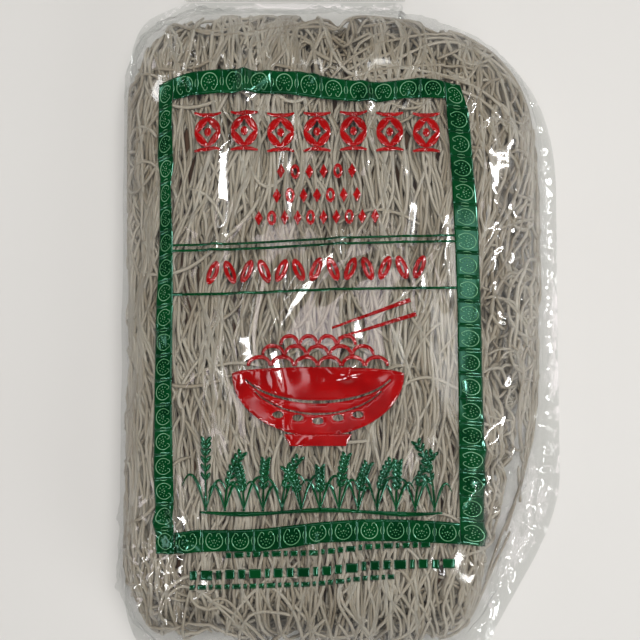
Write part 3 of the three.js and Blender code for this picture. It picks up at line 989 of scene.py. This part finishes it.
class Graph:
    """The node graph of a material, or of the world."""

    def __init__(self, name, owners=bpy.data.materials, coordinate="Object"):
        self.owner = owners.new(name)
        self.owner.use_nodes = True
        self.tree = self.owner.node_tree
        self.tree.nodes.clear()
        self.position = self.node("ShaderNodeTexCoord", output=coordinate)

    def node(self, kind, settings=None, inputs=None, output=0):
        """A node with its settings, then the values or links of its inputs; gives the output."""
        made = self.tree.nodes.new(kind)
        for key, value in (settings or {}).items():
            setattr(made, key, value)
        for key, value in (inputs or {}).items():
            if isinstance(value, Socket):
                self.tree.links.new(value.socket, made.inputs[key])
            else:
                made.inputs[key].default_value = value
        return Socket(self, made.outputs[output]) if len(made.outputs) else made

    def math(self, operation, a, b):
        return self.node("ShaderNodeMath", {"operation": operation}, {0: a, 1: b})

    def clamp(self, value, low=0.0, high=1.0):
        return self.node("ShaderNodeClamp", {}, {"Value": value, "Min": low, "Max": high})

    def mapped(self, scale, turn=0.0):
        """The position, turned about the upright axis and scaled."""
        return self.node("ShaderNodeMapping", {}, {
            "Vector": self.position, "Rotation": (0, 0, turn), "Scale": scale})

    def noise(self, scale, detail=2.0, stretch=(1, 1, 1)):
        return self.node("ShaderNodeTexNoise", {}, {
            "Vector": self.mapped(stretch), "Scale": scale, "Detail": detail})

    def attribute(self, name):
        return self.node("ShaderNodeAttribute", {"attribute_name": name}, output="Fac")

    def ramp(self, value, low, high):
        """0 below low, 1 above high, and a smooth step between."""
        return self.node("ShaderNodeMapRange", {"interpolation_type": "SMOOTHSTEP"}, {
            "Value": value, "From Min": low, "From Max": high})

    def mix_colour(self, factor, a, b):
        return self.node("ShaderNodeMix", {"data_type": "RGBA"}, {0: factor, 6: a, 7: b}, output=2)

    def bump(self, height, distance, strength=1.0):
        return self.node("ShaderNodeBump", {}, {
            "Height": height, "Distance": distance, "Strength": strength})

    def surface(self, shader, kind="ShaderNodeOutputMaterial"):
        self.node(kind, {}, {"Surface": shader})
        return self.owner


def colour(red, green, blue):
    """A display colour from 0 to 255 a channel, as the linear colour shaders take."""
    shares = [channel / 255 for channel in (red, green, blue)]
    linear = [((s + 0.055) / 1.055) ** 2.4 if s > 0.04 else s / 12.92 for s in shares]
    return (*linear, 1.0)


NOODLE_LIGHT, NOODLE_DARK = colour(186, 178, 163), colour(122, 108, 85)
# The core's dark browns are painted shade, standing in for the shadow deep between the noodles
CORE_SHADE_PALE, CORE_SHADE_DEEP = colour(88, 62, 42), colour(34, 18, 9)
HAZE_LIGHT, HAZE_DARK = colour(240, 240, 244), colour(205, 205, 208)
GREEN_LIGHT, GREEN_DARK = colour(3, 62, 25), colour(0, 43, 16)
LINE_LIGHT, LINE_DARK = colour(116, 158, 122), colour(84, 130, 92)
RED_LIGHT, RED_DARK = colour(160, 5, 7), colour(138, 2, 5)
FLOOR_LIGHT, FLOOR_DARK = colour(221, 219, 215), colour(216, 213, 209)
CLEAR = (0.97, 0.975, 0.97, 1)

# How hazy the film is, how much of the light it mirrors at most, and how high its crinkle,
# the ink's, the noodles' grain and the core's ridges stand, in metres
FILM_HAZE = 0.015
FILM_MIRROR = 0.2
FILM_CRINKLE = 0.00045
INK_CRINKLE = 0.00038
NOODLE_GRAIN = 0.00012
CORE_RIDGES = 0.0012


def noodle_material():
    """Dried noodle: its tone varies from strand to strand and in patches and flecks; satin,
    finely grained, and light sinks in a little."""
    graph = Graph("dried_noodle")
    tone = graph.attribute("tone")
    patches = graph.ramp(graph.noise(28.0), 0.3, 0.7)
    flecks = graph.noise(420.0)
    factor = graph.clamp(tone * 0.55 + patches * 0.3 + flecks * 0.25)
    shader = graph.node("ShaderNodeBsdfPrincipled", {}, {
        "Base Color": graph.mix_colour(factor, NOODLE_DARK, NOODLE_LIGHT),
        "Roughness": 0.38 + 0.2 * flecks,
        "Normal": graph.bump(graph.noise(1500.0, 3.0), NOODLE_GRAIN, 0.35),
        "IOR": 1.45,
        "Subsurface Weight": 0.35,
        "Subsurface Radius": (1.0, 0.9, 0.78),
        "Subsurface Scale": 0.0015})
    return graph.surface(shader)


def core_material():
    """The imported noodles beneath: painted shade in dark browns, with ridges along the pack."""
    graph = Graph("packed_noodles_painted_shade")
    ridges = graph.noise(700.0, 2.0, (1, 0.06, 1))
    shader = graph.node("ShaderNodeBsdfPrincipled", {}, {
        "Base Color": graph.mix_colour(graph.ramp(ridges, 0.35, 0.65), CORE_SHADE_DEEP, CORE_SHADE_PALE),
        "Roughness": 0.7,
        "Normal": graph.bump(ridges, CORE_RIDGES, 0.9)})
    return graph.surface(shader)


def film_material():
    """Clear film: it mirrors the light by its Fresnel share, up to a limit, over see-through
    plastic with a little haze. Slow waves, a fine crinkle and leaning ridged folds break
    the reflections up, and more haze and stronger folds go with the crumple."""
    graph = Graph("clear_film")
    slow = graph.noise(90.0, 1.0, (1, 0.35, 1))
    fine = graph.noise(300.0, 1.0, (1, 0.5, 1))
    crumple = graph.attribute("crumple")
    folds = graph.node("ShaderNodeTexNoise", {"noise_type": "RIDGED_MULTIFRACTAL"}, {
        "Vector": graph.mapped((1, 0.3, 1), 0.5), "Scale": 170.0, "Detail": 1.0})
    crumpled = crumple * (folds * 2.6 + fine * 1.5)
    normal = graph.bump(slow * 0.85 + fine * 0.15 + folds * 0.16 + crumpled, FILM_CRINKLE)
    fresnel = graph.node("ShaderNodeFresnel", {}, {"IOR": 1.5, "Normal": normal})
    see = graph.node("ShaderNodeBsdfTransparent", {}, {"Color": CLEAR})
    scuffs = graph.noise(160.0, 3.0)
    body = graph.node("ShaderNodeBsdfPrincipled", {}, {
        "Base Color": graph.mix_colour(scuffs, HAZE_DARK, HAZE_LIGHT), "Roughness": 0.3, "Normal": normal})
    haze = FILM_HAZE * (0.6 + 0.8 * scuffs) + crumple * graph.ramp(folds, 0.4, 0.9) * 0.4
    clear = graph.node("ShaderNodeMixShader", {}, {0: haze, 1: see, 2: body})
    mirror = graph.node("ShaderNodeBsdfGlossy", {}, {"Roughness": 0.12, "Normal": normal})
    share = graph.clamp(fresnel * 1.7, 0.0, FILM_MIRROR)
    return graph.surface(graph.node("ShaderNodeMixShader", {}, {0: share, 1: clear, 2: mirror}))


def ink_material(name, light, dark, roughness, tint):
    """Ink on the film: solid colour with faint mottling, glossy with the film's slow waves.
    The tint colours what it mirrors."""
    graph = Graph(name)
    mottle = graph.noise(110.0, 3.0)
    shader = graph.node("ShaderNodeBsdfPrincipled", {}, {
        "Base Color": graph.mix_colour(graph.ramp(mottle, 0.3, 0.7), dark, light),
        "Roughness": roughness + 0.06 * mottle,
        "Normal": graph.bump(graph.noise(90.0, 1.0, (1, 0.35, 1)), INK_CRINKLE),
        "IOR": 1.6,
        "Specular Tint": tint})
    return graph.surface(shader)


# ---------------------------------------------------------------- the print

def inside(points, outlines):
    """The even-odd rule: whether a line to the right of each point crosses the outlines an
    odd number of times."""
    odd = np.zeros(len(points), bool)
    x, y = points[:, :1], points[:, 1:]
    for outline in outlines:
        a, b = outline, np.roll(outline, -1, axis=0)
        spans = (a[:, 1] > y) != (b[:, 1] > y)
        rise = np.where(np.abs(b[:, 1] - a[:, 1]) < 1e-12, 1e-12, b[:, 1] - a[:, 1])
        crossing = a[:, 0] + (y - a[:, 1]) / rise * (b[:, 0] - a[:, 0])
        odd ^= (spans & (x < crossing)).sum(axis=1) % 2 == 1
    return odd


def fill(outlines, spacing):
    """Triangles that fill closed outlines by the even-odd rule, in cells of about spacing."""
    dense = []
    for outline in outlines:
        closed = np.concatenate([outline, outline[:1]])
        runs = np.linalg.norm(np.diff(closed, axis=0), axis=1)
        dense.append(np.concatenate([
            a + (b - a) * np.linspace(0, 1, max(1, int(np.ceil(run / spacing))), endpoint=False)[:, None]
            for a, b, run in zip(closed, closed[1:], runs)]))
    points = np.concatenate(dense)
    edges, start = [], 0
    for outline in dense:
        index = start + np.arange(len(outline))
        edges.append(np.stack([index, np.roll(index, -1)], axis=1))
        start += len(outline)
    low, high = points.min(axis=0), points.max(axis=0)
    gx, gy = np.meshgrid(np.arange(low[0] + spacing / 2, high[0], spacing),
                         np.arange(low[1] + spacing / 2, high[1], spacing))
    grid = np.stack([gx.ravel(), gy.ravel()], axis=1)
    grid = grid[inside(grid, dense)]
    if len(grid):
        gap = np.linalg.norm(grid[:, None] - points[None], axis=-1).min(axis=1)
        grid = grid[gap > spacing * 0.45]
    every = [Vector(p) for p in np.concatenate([points, grid])]
    result = delaunay_2d_cdt(every, np.concatenate(edges).tolist(), [], 0, 1e-6)
    made = np.array([list(v) for v in result[0]])
    triangles = np.array(result[2])
    return made, triangles[inside(made[triangles].mean(axis=1), dense)]


def ellipse(middle, reach, turn, count):
    """Points round an ellipse that is turned by an angle in radians."""
    angle = 2 * np.pi * np.arange(count) / count
    x, y = reach[0] * np.cos(angle), reach[1] * np.sin(angle)
    return np.stack([middle[0] + x * np.cos(turn) - y * np.sin(turn),
                     middle[1] + x * np.sin(turn) + y * np.cos(turn)], axis=1)


def stroke(line, widths):
    """The outline of a line drawn with a nib whose width runs through the given widths."""
    line = np.asarray(line, float)
    width = np.interp(np.linspace(0, 1, len(line)), np.linspace(0, 1, len(widths)), widths)
    half = left_of(line) * width[:, None] / 2
    return np.concatenate([line + half, (line - half)[::-1]])


def arc(middle, reach, start, end, count):
    """Points on an arc, angles in degrees; down is positive, as on the print grid."""
    angle = np.radians(np.linspace(start, end, count))
    return np.stack([middle[0] + reach[0] * np.cos(angle), middle[1] + reach[1] * np.sin(angle)], axis=1)


def four_points(middle, reach, power):
    """A four-pointed ornament: |x / a|^p + |y / b|^p = 1 with p under 1."""
    angle = 2 * np.pi * np.arange(32) / 32
    x = np.sign(np.cos(angle)) * np.abs(np.cos(angle)) ** (2 / power)
    y = np.sign(np.sin(angle)) * np.abs(np.sin(angle)) ** (2 / power)
    return np.stack([middle[0] + reach[0] * x, middle[1] + reach[1] * y], axis=1)


# How far over the film the print and the lines on it lie, and how thick they are, in mm,
# and the usual spacing of the points that fill a shape, in print grid units
PRINT_LEVEL, LINE_LEVEL = 0.12, 0.2
INK_THICKNESS = 0.04
FILL_SPACING = 3.0


class Ink:
    """Collects printed shapes and lays them on the film as one mesh."""

    def __init__(self, name):
        self.name = name
        self.parts = []

    def add(self, points, triangles):
        """Adds a shape that is filled already."""
        self.parts.append((points, triangles))

    def draw(self, *outlines, spacing=FILL_SPACING):
        """Fills closed outlines, a shape and what is cut out of it, and adds them."""
        self.add(*fill([np.asarray(outline, float) for outline in outlines], spacing))

    def lay(self, material, slot, level):
        """Puts the shapes on the film where the eye sees them, facing outwards."""
        points, triangles = joined(self.parts)
        sheet = sheet_under(from_grid(points))
        corner = sheet[triangles]
        first, second = corner[:, 1] - corner[:, 0], corner[:, 2] - corner[:, 0]
        area = first[:, 0] * second[:, 1] - first[:, 1] * second[:, 0]
        triangles[area < 0] = triangles[area < 0][:, ::-1]
        piece = add_mesh(self.name, film_point(sheet, level), [], triangles)
        thicken(piece, INK_THICKNESS, -1)
        finish_piece(piece, material)


# A step of the border: its size and its middle, in print grid units
TILE = np.array([26.0, 22.0])
TILE_MIDDLE = TILE / 2


def band_tile():
    """A plain step of the border, filled. A tile's points are shares of its size."""
    points, triangles = fill([TILE * [(0, 0), (1, 0), (1, 1), (0, 1)]], FILL_SPACING)
    return points / TILE, triangles


def rosette_tile():
    """The pale lines on one step of the border: an open ring with curled ends, an arc of
    dots round a small flower, and a bracket at either side."""
    ring = arc(TILE_MIDDLE, (8.4, 8.4), 140, 400, 30)
    curl_in = arc(TILE_MIDDLE + [4.6, 5.2], (2.3, 2.3), 45, 200, 7)[1:]
    curl_out = arc(TILE_MIDDLE + [-4.6, 5.2], (2.3, 2.3), -20, 135, 7)[:-1]
    scroll = np.concatenate([curl_out, ring, curl_in])
    shapes = [stroke(scroll, [0.5, 0.75, 0.9, 0.9, 0.9, 0.75, 0.5])]
    outer_dots, inner_dots = np.linspace(150, 390, 7), np.linspace(180, 360, 4)
    for reach, size, degrees in ((5.2, 0.6, outer_dots), (2.4, 0.55, inner_dots)):
        for turn in np.radians(degrees):
            spot = TILE_MIDDLE + reach * np.array([np.cos(turn), np.sin(turn)])
            shapes.append(ellipse(spot, (size, size), 0, 6))
    shapes.append(ellipse(TILE_MIDDLE + [0, 0.6], (0.9, 0.9), 0, 6))
    for x, turn in ((-7.6, 0), (33.6, 180)):
        bracket = arc((x, TILE_MIDDLE[1]), (9.4, 9.4), turn - 24, turn + 24, 7)
        shapes.append(stroke(bracket, [0.4, 0.8, 0.4]))
    points, triangles = joined([fill([shape], 4.0) for shape in shapes])
    return points / TILE, triangles


# The border's corners and sides in print grid units: outer line, inner line. Then how many
# steps each side has, and how many points its lines are worked out in
FRAME_TOP = [
    [(173, 79), (193.6, 72.6), (218.9, 69.8), (247.6, 71.5), (276.3, 72), (299, 72), (316.5, 75),
     (330, 78.4), (355, 81.5), (380, 83), (395, 81.2), (420, 78.4), (437.4, 80), (445, 82.5)],
    [(173, 100.2), (196, 95.6), (218.9, 93.3), (253.3, 93.9), (287.8, 94.4), (310.7, 97.9),
     (330, 100.2), (355, 102), (380, 102.5), (397, 99.6), (426, 97.9), (445, 99)]]
FRAME_RIGHT = [
    [(459.2, 86), (465, 102.5), (468.4, 117.4), (470.7, 140.4), (473, 174.8), (475.3, 197.8),
     (477.6, 232.2), (480, 300), (482, 380), (483, 460), (483.5, 546)],
    [(444.6, 82.5), (446.6, 117.4), (448.9, 140.4), (451.2, 174.8), (452.9, 209.2), (454.6, 239),
     (457, 300), (458, 400), (459, 480), (460, 544)]]
FRAME_BOTTOM = [
    [(460, 544), (440, 543), (400, 541), (360, 541), (320, 542.6), (300.7, 546), (277.8, 549.5),
     (254.8, 551.8), (226.1, 551.2), (197.4, 551.8), (175.6, 552.9)],
    [(460, 523), (440, 521), (400, 519), (360, 519), (320, 521.9), (289.3, 525.4), (266.3, 528.2),
     (231.8, 529.9), (197.4, 529.4), (175.6, 531.7)]]
FRAME_LEFT = [
    [(157.2, 553), (156.6, 514.4), (155, 485.7), (155, 400), (157, 300), (160.9, 239), (160.9, 180.5),
     (158, 157.6), (160, 85.8)],
    [(175.6, 553), (174.4, 514.4), (173.9, 491.5), (172, 400), (173, 300), (173, 232), (171.2, 186),
     (173.5, 163), (171.8, 124), (173.4, 79)]]


BORDER_SIDES = [(FRAME_TOP, 11), (FRAME_RIGHT, 19), (FRAME_BOTTOM, 11), (FRAME_LEFT, 19)]
BORDER_POINTS = 400


def draw_border(ink, tile, triangles):
    """Runs a tile round the frame: each point of a tile is blended between the outer and
    the inner line at the same share of their lengths."""
    for side, count in BORDER_SIDES:
        outer, inner = (spaced(np.array(line, float), BORDER_POINTS) for line in side)
        for step in range(count):
            places = (step + tile[:, 0]) / count * (BORDER_POINTS - 1)
            inward = tile[:, 1:]
            ink.add(between(outer, places) * (1 - inward) + between(inner, places) * inward, triangles)


# Places on the print grid. The rules: their heights at the left and the right end, and
# their widths. The ornaments: where the row runs, its height, and how each is shifted. The
# short rows: left, right, top, bottom and how many. The rows of dashes under the frame:
# left, right, middle, half their height and their usual length
RULES = [(245.5, 234.6, 2.2), (251.0, 240.4, 2.4), (294.5, 287.0, 2.6)]
RULE_LEFT, RULE_RIGHT, RULE_RUN = 172, 456.5, 284
ORNAMENT_LEFT, ORNAMENT_RIGHT, ORNAMENT_Y = 208, 426, 132
ORNAMENT_SHIFTS = (1, -1, 1, 0, -1, 0, 1)
SHORT_ROWS = [(276, 357, 163, 180, 6), (272, 362, 187, 204, 7), (254, 380, 209, 226, 10)]
ROW_MIDDLE = 316
GRAIN_LEFT, GRAIN_RIGHT, GRAIN_Y = 213, 419, 270
BOWL_X, BOWL_Y = 318.0, 374.0
GROUND_LEFT, GROUND_RIGHT, GROUND_Y = 200, 442, 512
EARS_LEFT, EARS_RIGHT, EARS_MIDDLE = 206, 434, 320
DASH_ROWS = [(226, 430, 556, 2.8, 5.4), (190, 446, 575, 4.6, 7.0), (190, 390, 587, 2.4, 5.0)]
DASH_LENGTHS = (1.0, 1.7, 0.7, 1.3)
DASH_LEFT, DASH_BEND = 190, 300


def draw_rules(ink):
    """A double rule and a single one across the frame, with a slow wave, all slightly
    rising to the right."""
    x = np.linspace(RULE_LEFT, RULE_RIGHT, 60)
    along = x - RULE_LEFT
    for left, right, width in RULES:
        y = left + (right - left) * along / RULE_RUN + 0.8 * np.sin(along / 38)
        ink.draw(stroke(np.stack([x, y], axis=1), [width, width]), spacing=2.4)


def draw_ornaments(ink):
    """Bold ornaments in a row: an oval with a four-pointed star cut out and a seed in it,
    between curved bars above and below."""
    for x, shift in zip(np.linspace(ORNAMENT_LEFT, ORNAMENT_RIGHT, 7), ORNAMENT_SHIFTS):
        y = ORNAMENT_Y + 0.7 * shift
        ink.draw(ellipse((x, y), (13.5, 15), 0, 36), four_points((x, y), (9.5, 11.5), 0.85),
                 ellipse((x, y), (3.6, 4.4), 0, 14))
        for side in (-1, 1):
            for end in (-1, 1):
                bar = [(x + side * 13.5, y + end * 19), (x + side * 7, y + end * 17.4), (x, y + end * 17)]
                ink.draw(stroke(bar, [2.2, 3.4, 4.2]))


def draw_short_rows(ink):
    """Short rows of small ornaments, slightly rising to the right: every third from the
    second is an oval ring, and the rest are diamonds."""
    for left, right, top, bottom, count in SHORT_ROWS:
        half = (bottom - top) / 2 - 1
        for step, x in enumerate(np.linspace(left + 5, right - 5, count)):
            y = (top + bottom) / 2 - (x - ROW_MIDDLE) * 0.02
            if step % 3 == 1:
                ink.draw(ellipse((x, y), (4.6, half), 0, 20), ellipse((x, y), (1.8, half * 0.5), 0, 12))
            else:
                ink.draw([(x - 4.2, y), (x, y - half), (x + 4.2, y), (x, y + half)])


def draw_grain_row(ink):
    """A row of bold slanted grains between the rules."""
    for step, x in enumerate(np.linspace(GRAIN_LEFT, GRAIN_RIGHT, 13)):
        y = GRAIN_Y - (x - ROW_MIDDLE) * 0.028
        turn = math.radians(68 if step % 2 else 112)
        ink.draw(ellipse((x, y), (12.5, 5.2), turn, 24), ellipse((x, y), (6.5, 1.1), turn, 14))


def draw_bowl(ink):
    """A bowl of noodles with a pair of sticks, on a foot, in solid colour with clear lines."""
    x, y = BOWL_X, BOWL_Y
    rim = arc((x, y), (86, 7), 180, 360, 20)
    body = arc((x, y), (86, 62), 0, 180, 40)
    bands = [stroke(arc((x, y - 8), (78, 36), 22, 158, 30), [1.4, 3.0, 1.4]),
             stroke(arc((x, y - 4), (72, 44), 28, 152, 30), [1.0, 1.8, 1.0])]
    flowers = [ellipse((x + dx, y + 47 - abs(dx) * 0.16), (5.5, 3.4), 0, 14) for dx in (-40, -20, 0, 20, 40)]
    ink.draw(np.concatenate([rim, body]), *bands, *flowers, spacing=3.2)
    ink.draw([(x - 34, y + 60), (x + 34, y + 60), (x + 28, y + 72), (x - 28, y + 72)])
    for row, (half, lift) in enumerate(((70, 14), (56, 25), (38, 35))):
        for step in range(6 - row):
            middle = (x + (step - (5 - row) / 2) * 2 * half / (6 - row), y - lift + 6)
            heap = arc(middle, (half / (6.4 - row), 9), 180, 360, 12)
            ink.draw(stroke(heap, [3, 4.2, 3]), spacing=3.2)
    for start, end in (((x + 14, y - 46), (x + 92, y - 74)), ((x + 20, y - 36), (x + 98, y - 60))):
        ink.draw(stroke(np.linspace(start, end, 24), [2.2, 4.4]), spacing=3.2)


def draw_ears(ink, rng):
    """Sprays of rice along the foot of the frame: bent stems with grains in pairs and two
    blades each, taller towards both ends of the row."""
    ground_x = np.linspace(GROUND_LEFT, GROUND_RIGHT, 40)
    ground = np.stack([ground_x, GROUND_Y + 2 * np.sin(np.linspace(0, 9, 40))], axis=1)
    ink.draw(stroke(ground, [2, 5, 3, 5, 3, 5, 2]))
    for root in np.linspace(EARS_LEFT, EARS_RIGHT, 13):
        lean = rng.uniform(-1, 1)
        tall = rng.uniform(46, 62) + 22 * smoothstep((abs(root - EARS_MIDDLE) - 70) / 40)
        t = np.linspace(0, 1, 26)
        stem = np.stack([root + lean * 16 * t ** 2, GROUND_Y - 1 - tall * (t - 0.16 * t ** 3)], axis=1)
        ink.draw(stroke(stem, [2.6, 1.0]))
        for step in range(6):
            at = stem[25 - 3 * step]
            for side in (-1, 1):
                turn = math.radians(-90 + lean * 25 + side * 32)
                spot = at + 4.6 * np.array([np.cos(turn), np.sin(turn)])
                ink.draw(ellipse(spot, (4.4, 1.9), turn, 12))
        for side in (-1, 1):
            reach = rng.uniform(14, 24)
            height = reach * 1.5 * np.sin(t * 2.4)
            blade = np.stack([root + side * reach * t, GROUND_Y - 2 - height], axis=1)
            ink.draw(stroke(blade, [1.0, 3.0, 2.4, 0.6]))


def draw_footer(ink):
    """Rows of small dashes under the frame, rising to the right, more from the bend on."""
    for left, right, y, half, width in DASH_ROWS:
        x, step = left, 0
        while x < right:
            long = width * DASH_LENGTHS[step % 4]
            lift = -(x - DASH_LEFT) * 0.028 - 5 * smoothstep((x - DASH_BEND) / 80)
            corners = [(x, y - half), (x + long, y - half), (x + long, y + half), (x, y + half)]
            ink.draw(np.array(corners) + [0, lift])
            x += long + width * 0.55
            step += 1


# ---------------------------------------------------------------- the pack

rng = np.random.default_rng(SEED)
noodles = noodle_material()
clear_film = film_material()
make_core(core_material())
make_noodle_pieces(build_noodles(rng), noodles)
make_film(clear_film)
make_seals(clear_film)

# Green mirrors the light a little teal
TEAL, WHITE = (0.35, 0.9, 0.7, 1), (1, 1, 1, 1)

green_print = Ink("green_print")
draw_border(green_print, *band_tile())
draw_rules(green_print)
draw_ears(green_print, rng)
draw_footer(green_print)
green_ink = ink_material("green_ink", GREEN_LIGHT, GREEN_DARK, 0.12, TEAL)
green_print.lay(green_ink, "green_ink", PRINT_LEVEL)

rosette_lines = Ink("rosette_lines")
draw_border(rosette_lines, *rosette_tile())
pale_line = ink_material("pale_line", LINE_LIGHT, LINE_DARK, 0.12, TEAL)
rosette_lines.lay(pale_line, "green_ink", LINE_LEVEL)

red_print = Ink("red_print")
draw_ornaments(red_print)
draw_short_rows(red_print)
draw_grain_row(red_print)
draw_bowl(red_print)
red_ink = ink_material("red_ink", RED_LIGHT, RED_DARK, 0.06, WHITE)
red_print.lay(red_ink, "red_ink", PRINT_LEVEL)


# ---------------------------------------------------------------- stage, light, camera

FLOOR_REACH = 1500


def make_floor():
    """A wide plain floor at the level on which the pack rests."""
    corners = [(x * FLOOR_REACH, y * FLOOR_REACH, 0) for x, y in ((-1, -1), (1, -1), (1, 1), (-1, 1))]
    floor = add_mesh("floor", corners, [(0, 1, 2, 3)], smooth=False)
    graph = Graph("pale_floor")
    shader = graph.node("ShaderNodeBsdfPrincipled", {}, {
        "Base Color": graph.mix_colour(graph.noise(6.0), FLOOR_DARK, FLOOR_LIGHT), "Roughness": 0.7})
    floor.data.materials.append(graph.surface(shader))


# Soft lights, which aren't mirrored: name, place, size and power. Then those for the gloss,
# which are mirrored alone, each with its aim and its tint
BROAD, SHOULDER = (0, 0, 20), (0, 0, 40)
PLAIN, ROSY, ROSE = (1, 1, 1), (1, 0.92, 0.96), (1, 0.88, 0.93)
SOFT_LIGHTS = [
    ("key", (20, 90, 820), (460, 460), 6.4),
    ("fill", (500, -500, 500), (400, 400), 1.4),
]
GLOSS_LIGHTS = [
    ("strip_right", (560, 145, 330), SHOULDER, (62, 470), 4.1, PLAIN),
    ("strip_low", (470, -300, 330), SHOULDER, (90, 220), 1.4, PLAIN),
    ("lamp_right", (242, 25, 410), SHOULDER, (110, 100), 0.11, PLAIN),
    ("lamp_left", (-430, 330, 360), SHOULDER, (110, 110), 0.4, PLAIN),
    ("lamp_front", (-260, -360, 400), SHOULDER, (130, 150), 1.1, PLAIN),
    ("panel_left", (-600, -250, 300), SHOULDER, (200, 300), 0.8, ROSY),
    ("strip_top", (60, 430, 420), SHOULDER, (90, 50), 0.12, PLAIN),
    ("panel", (-8, 34, 700), (-8, 34, 0), (280, 120), 0.36, ROSE),
]


def add_light(name, spot, aim, size, power, tint=PLAIN):
    """A rectangular light at a spot, turned to face the aim, all in millimetres."""
    data = bpy.data.lights.new(name, "AREA")
    data.shape = "RECTANGLE"
    data.size, data.size_y = size[0] * MM, size[1] * MM
    data.energy = power
    data.color = tint
    light = bpy.data.objects.new(name, data)
    light.location = Vector(spot) * MM
    light.rotation_euler = (Vector(aim) - Vector(spot)).to_track_quat("-Z", "Y").to_euler()
    bpy.context.scene.collection.objects.link(light)
    return light


def add_camera():
    """The camera at the eye."""
    data = bpy.data.cameras.new("camera")
    data.angle = 2 * math.atan(VIEW_WIDTH / 2 / EYE_DISTANCE)
    data.clip_start = 0.01
    camera = bpy.data.objects.new("camera", data)
    camera.location = Vector(EYE) * MM
    camera.rotation_euler = Vector(EYE_FORWARD).to_track_quat("-Z", "Y").to_euler()
    bpy.context.scene.collection.objects.link(camera)
    bpy.context.scene.camera = camera


SKY_LOW, SKY_HIGH, SKY_STRENGTH = (0.86, 0.84, 0.81, 1), (0.1, 0.098, 0.094, 1), 0.72


def make_sky():
    """A dim grey sky, paler towards the horizon."""
    sky = Graph("studio", bpy.data.worlds, "Generated")
    up = sky.node("ShaderNodeSeparateXYZ", {}, {0: sky.position}, output="Z")
    shade = sky.mix_colour(sky.ramp(up, 0.02, 0.5), SKY_LOW, SKY_HIGH)
    background = sky.node("ShaderNodeBackground", {}, {"Color": shade, "Strength": SKY_STRENGTH})
    bpy.context.scene.world = sky.surface(background, "ShaderNodeOutputWorld")


make_floor()
for name, spot, size, power in SOFT_LIGHTS:
    add_light(name, spot, BROAD, size, power).visible_glossy = False
for name, spot, aim, size, power, tint in GLOSS_LIGHTS:
    add_light(name, spot, aim, size, power, tint).visible_diffuse = False
add_camera()
make_sky()
bpy.context.scene.view_settings.view_transform = "Standard"

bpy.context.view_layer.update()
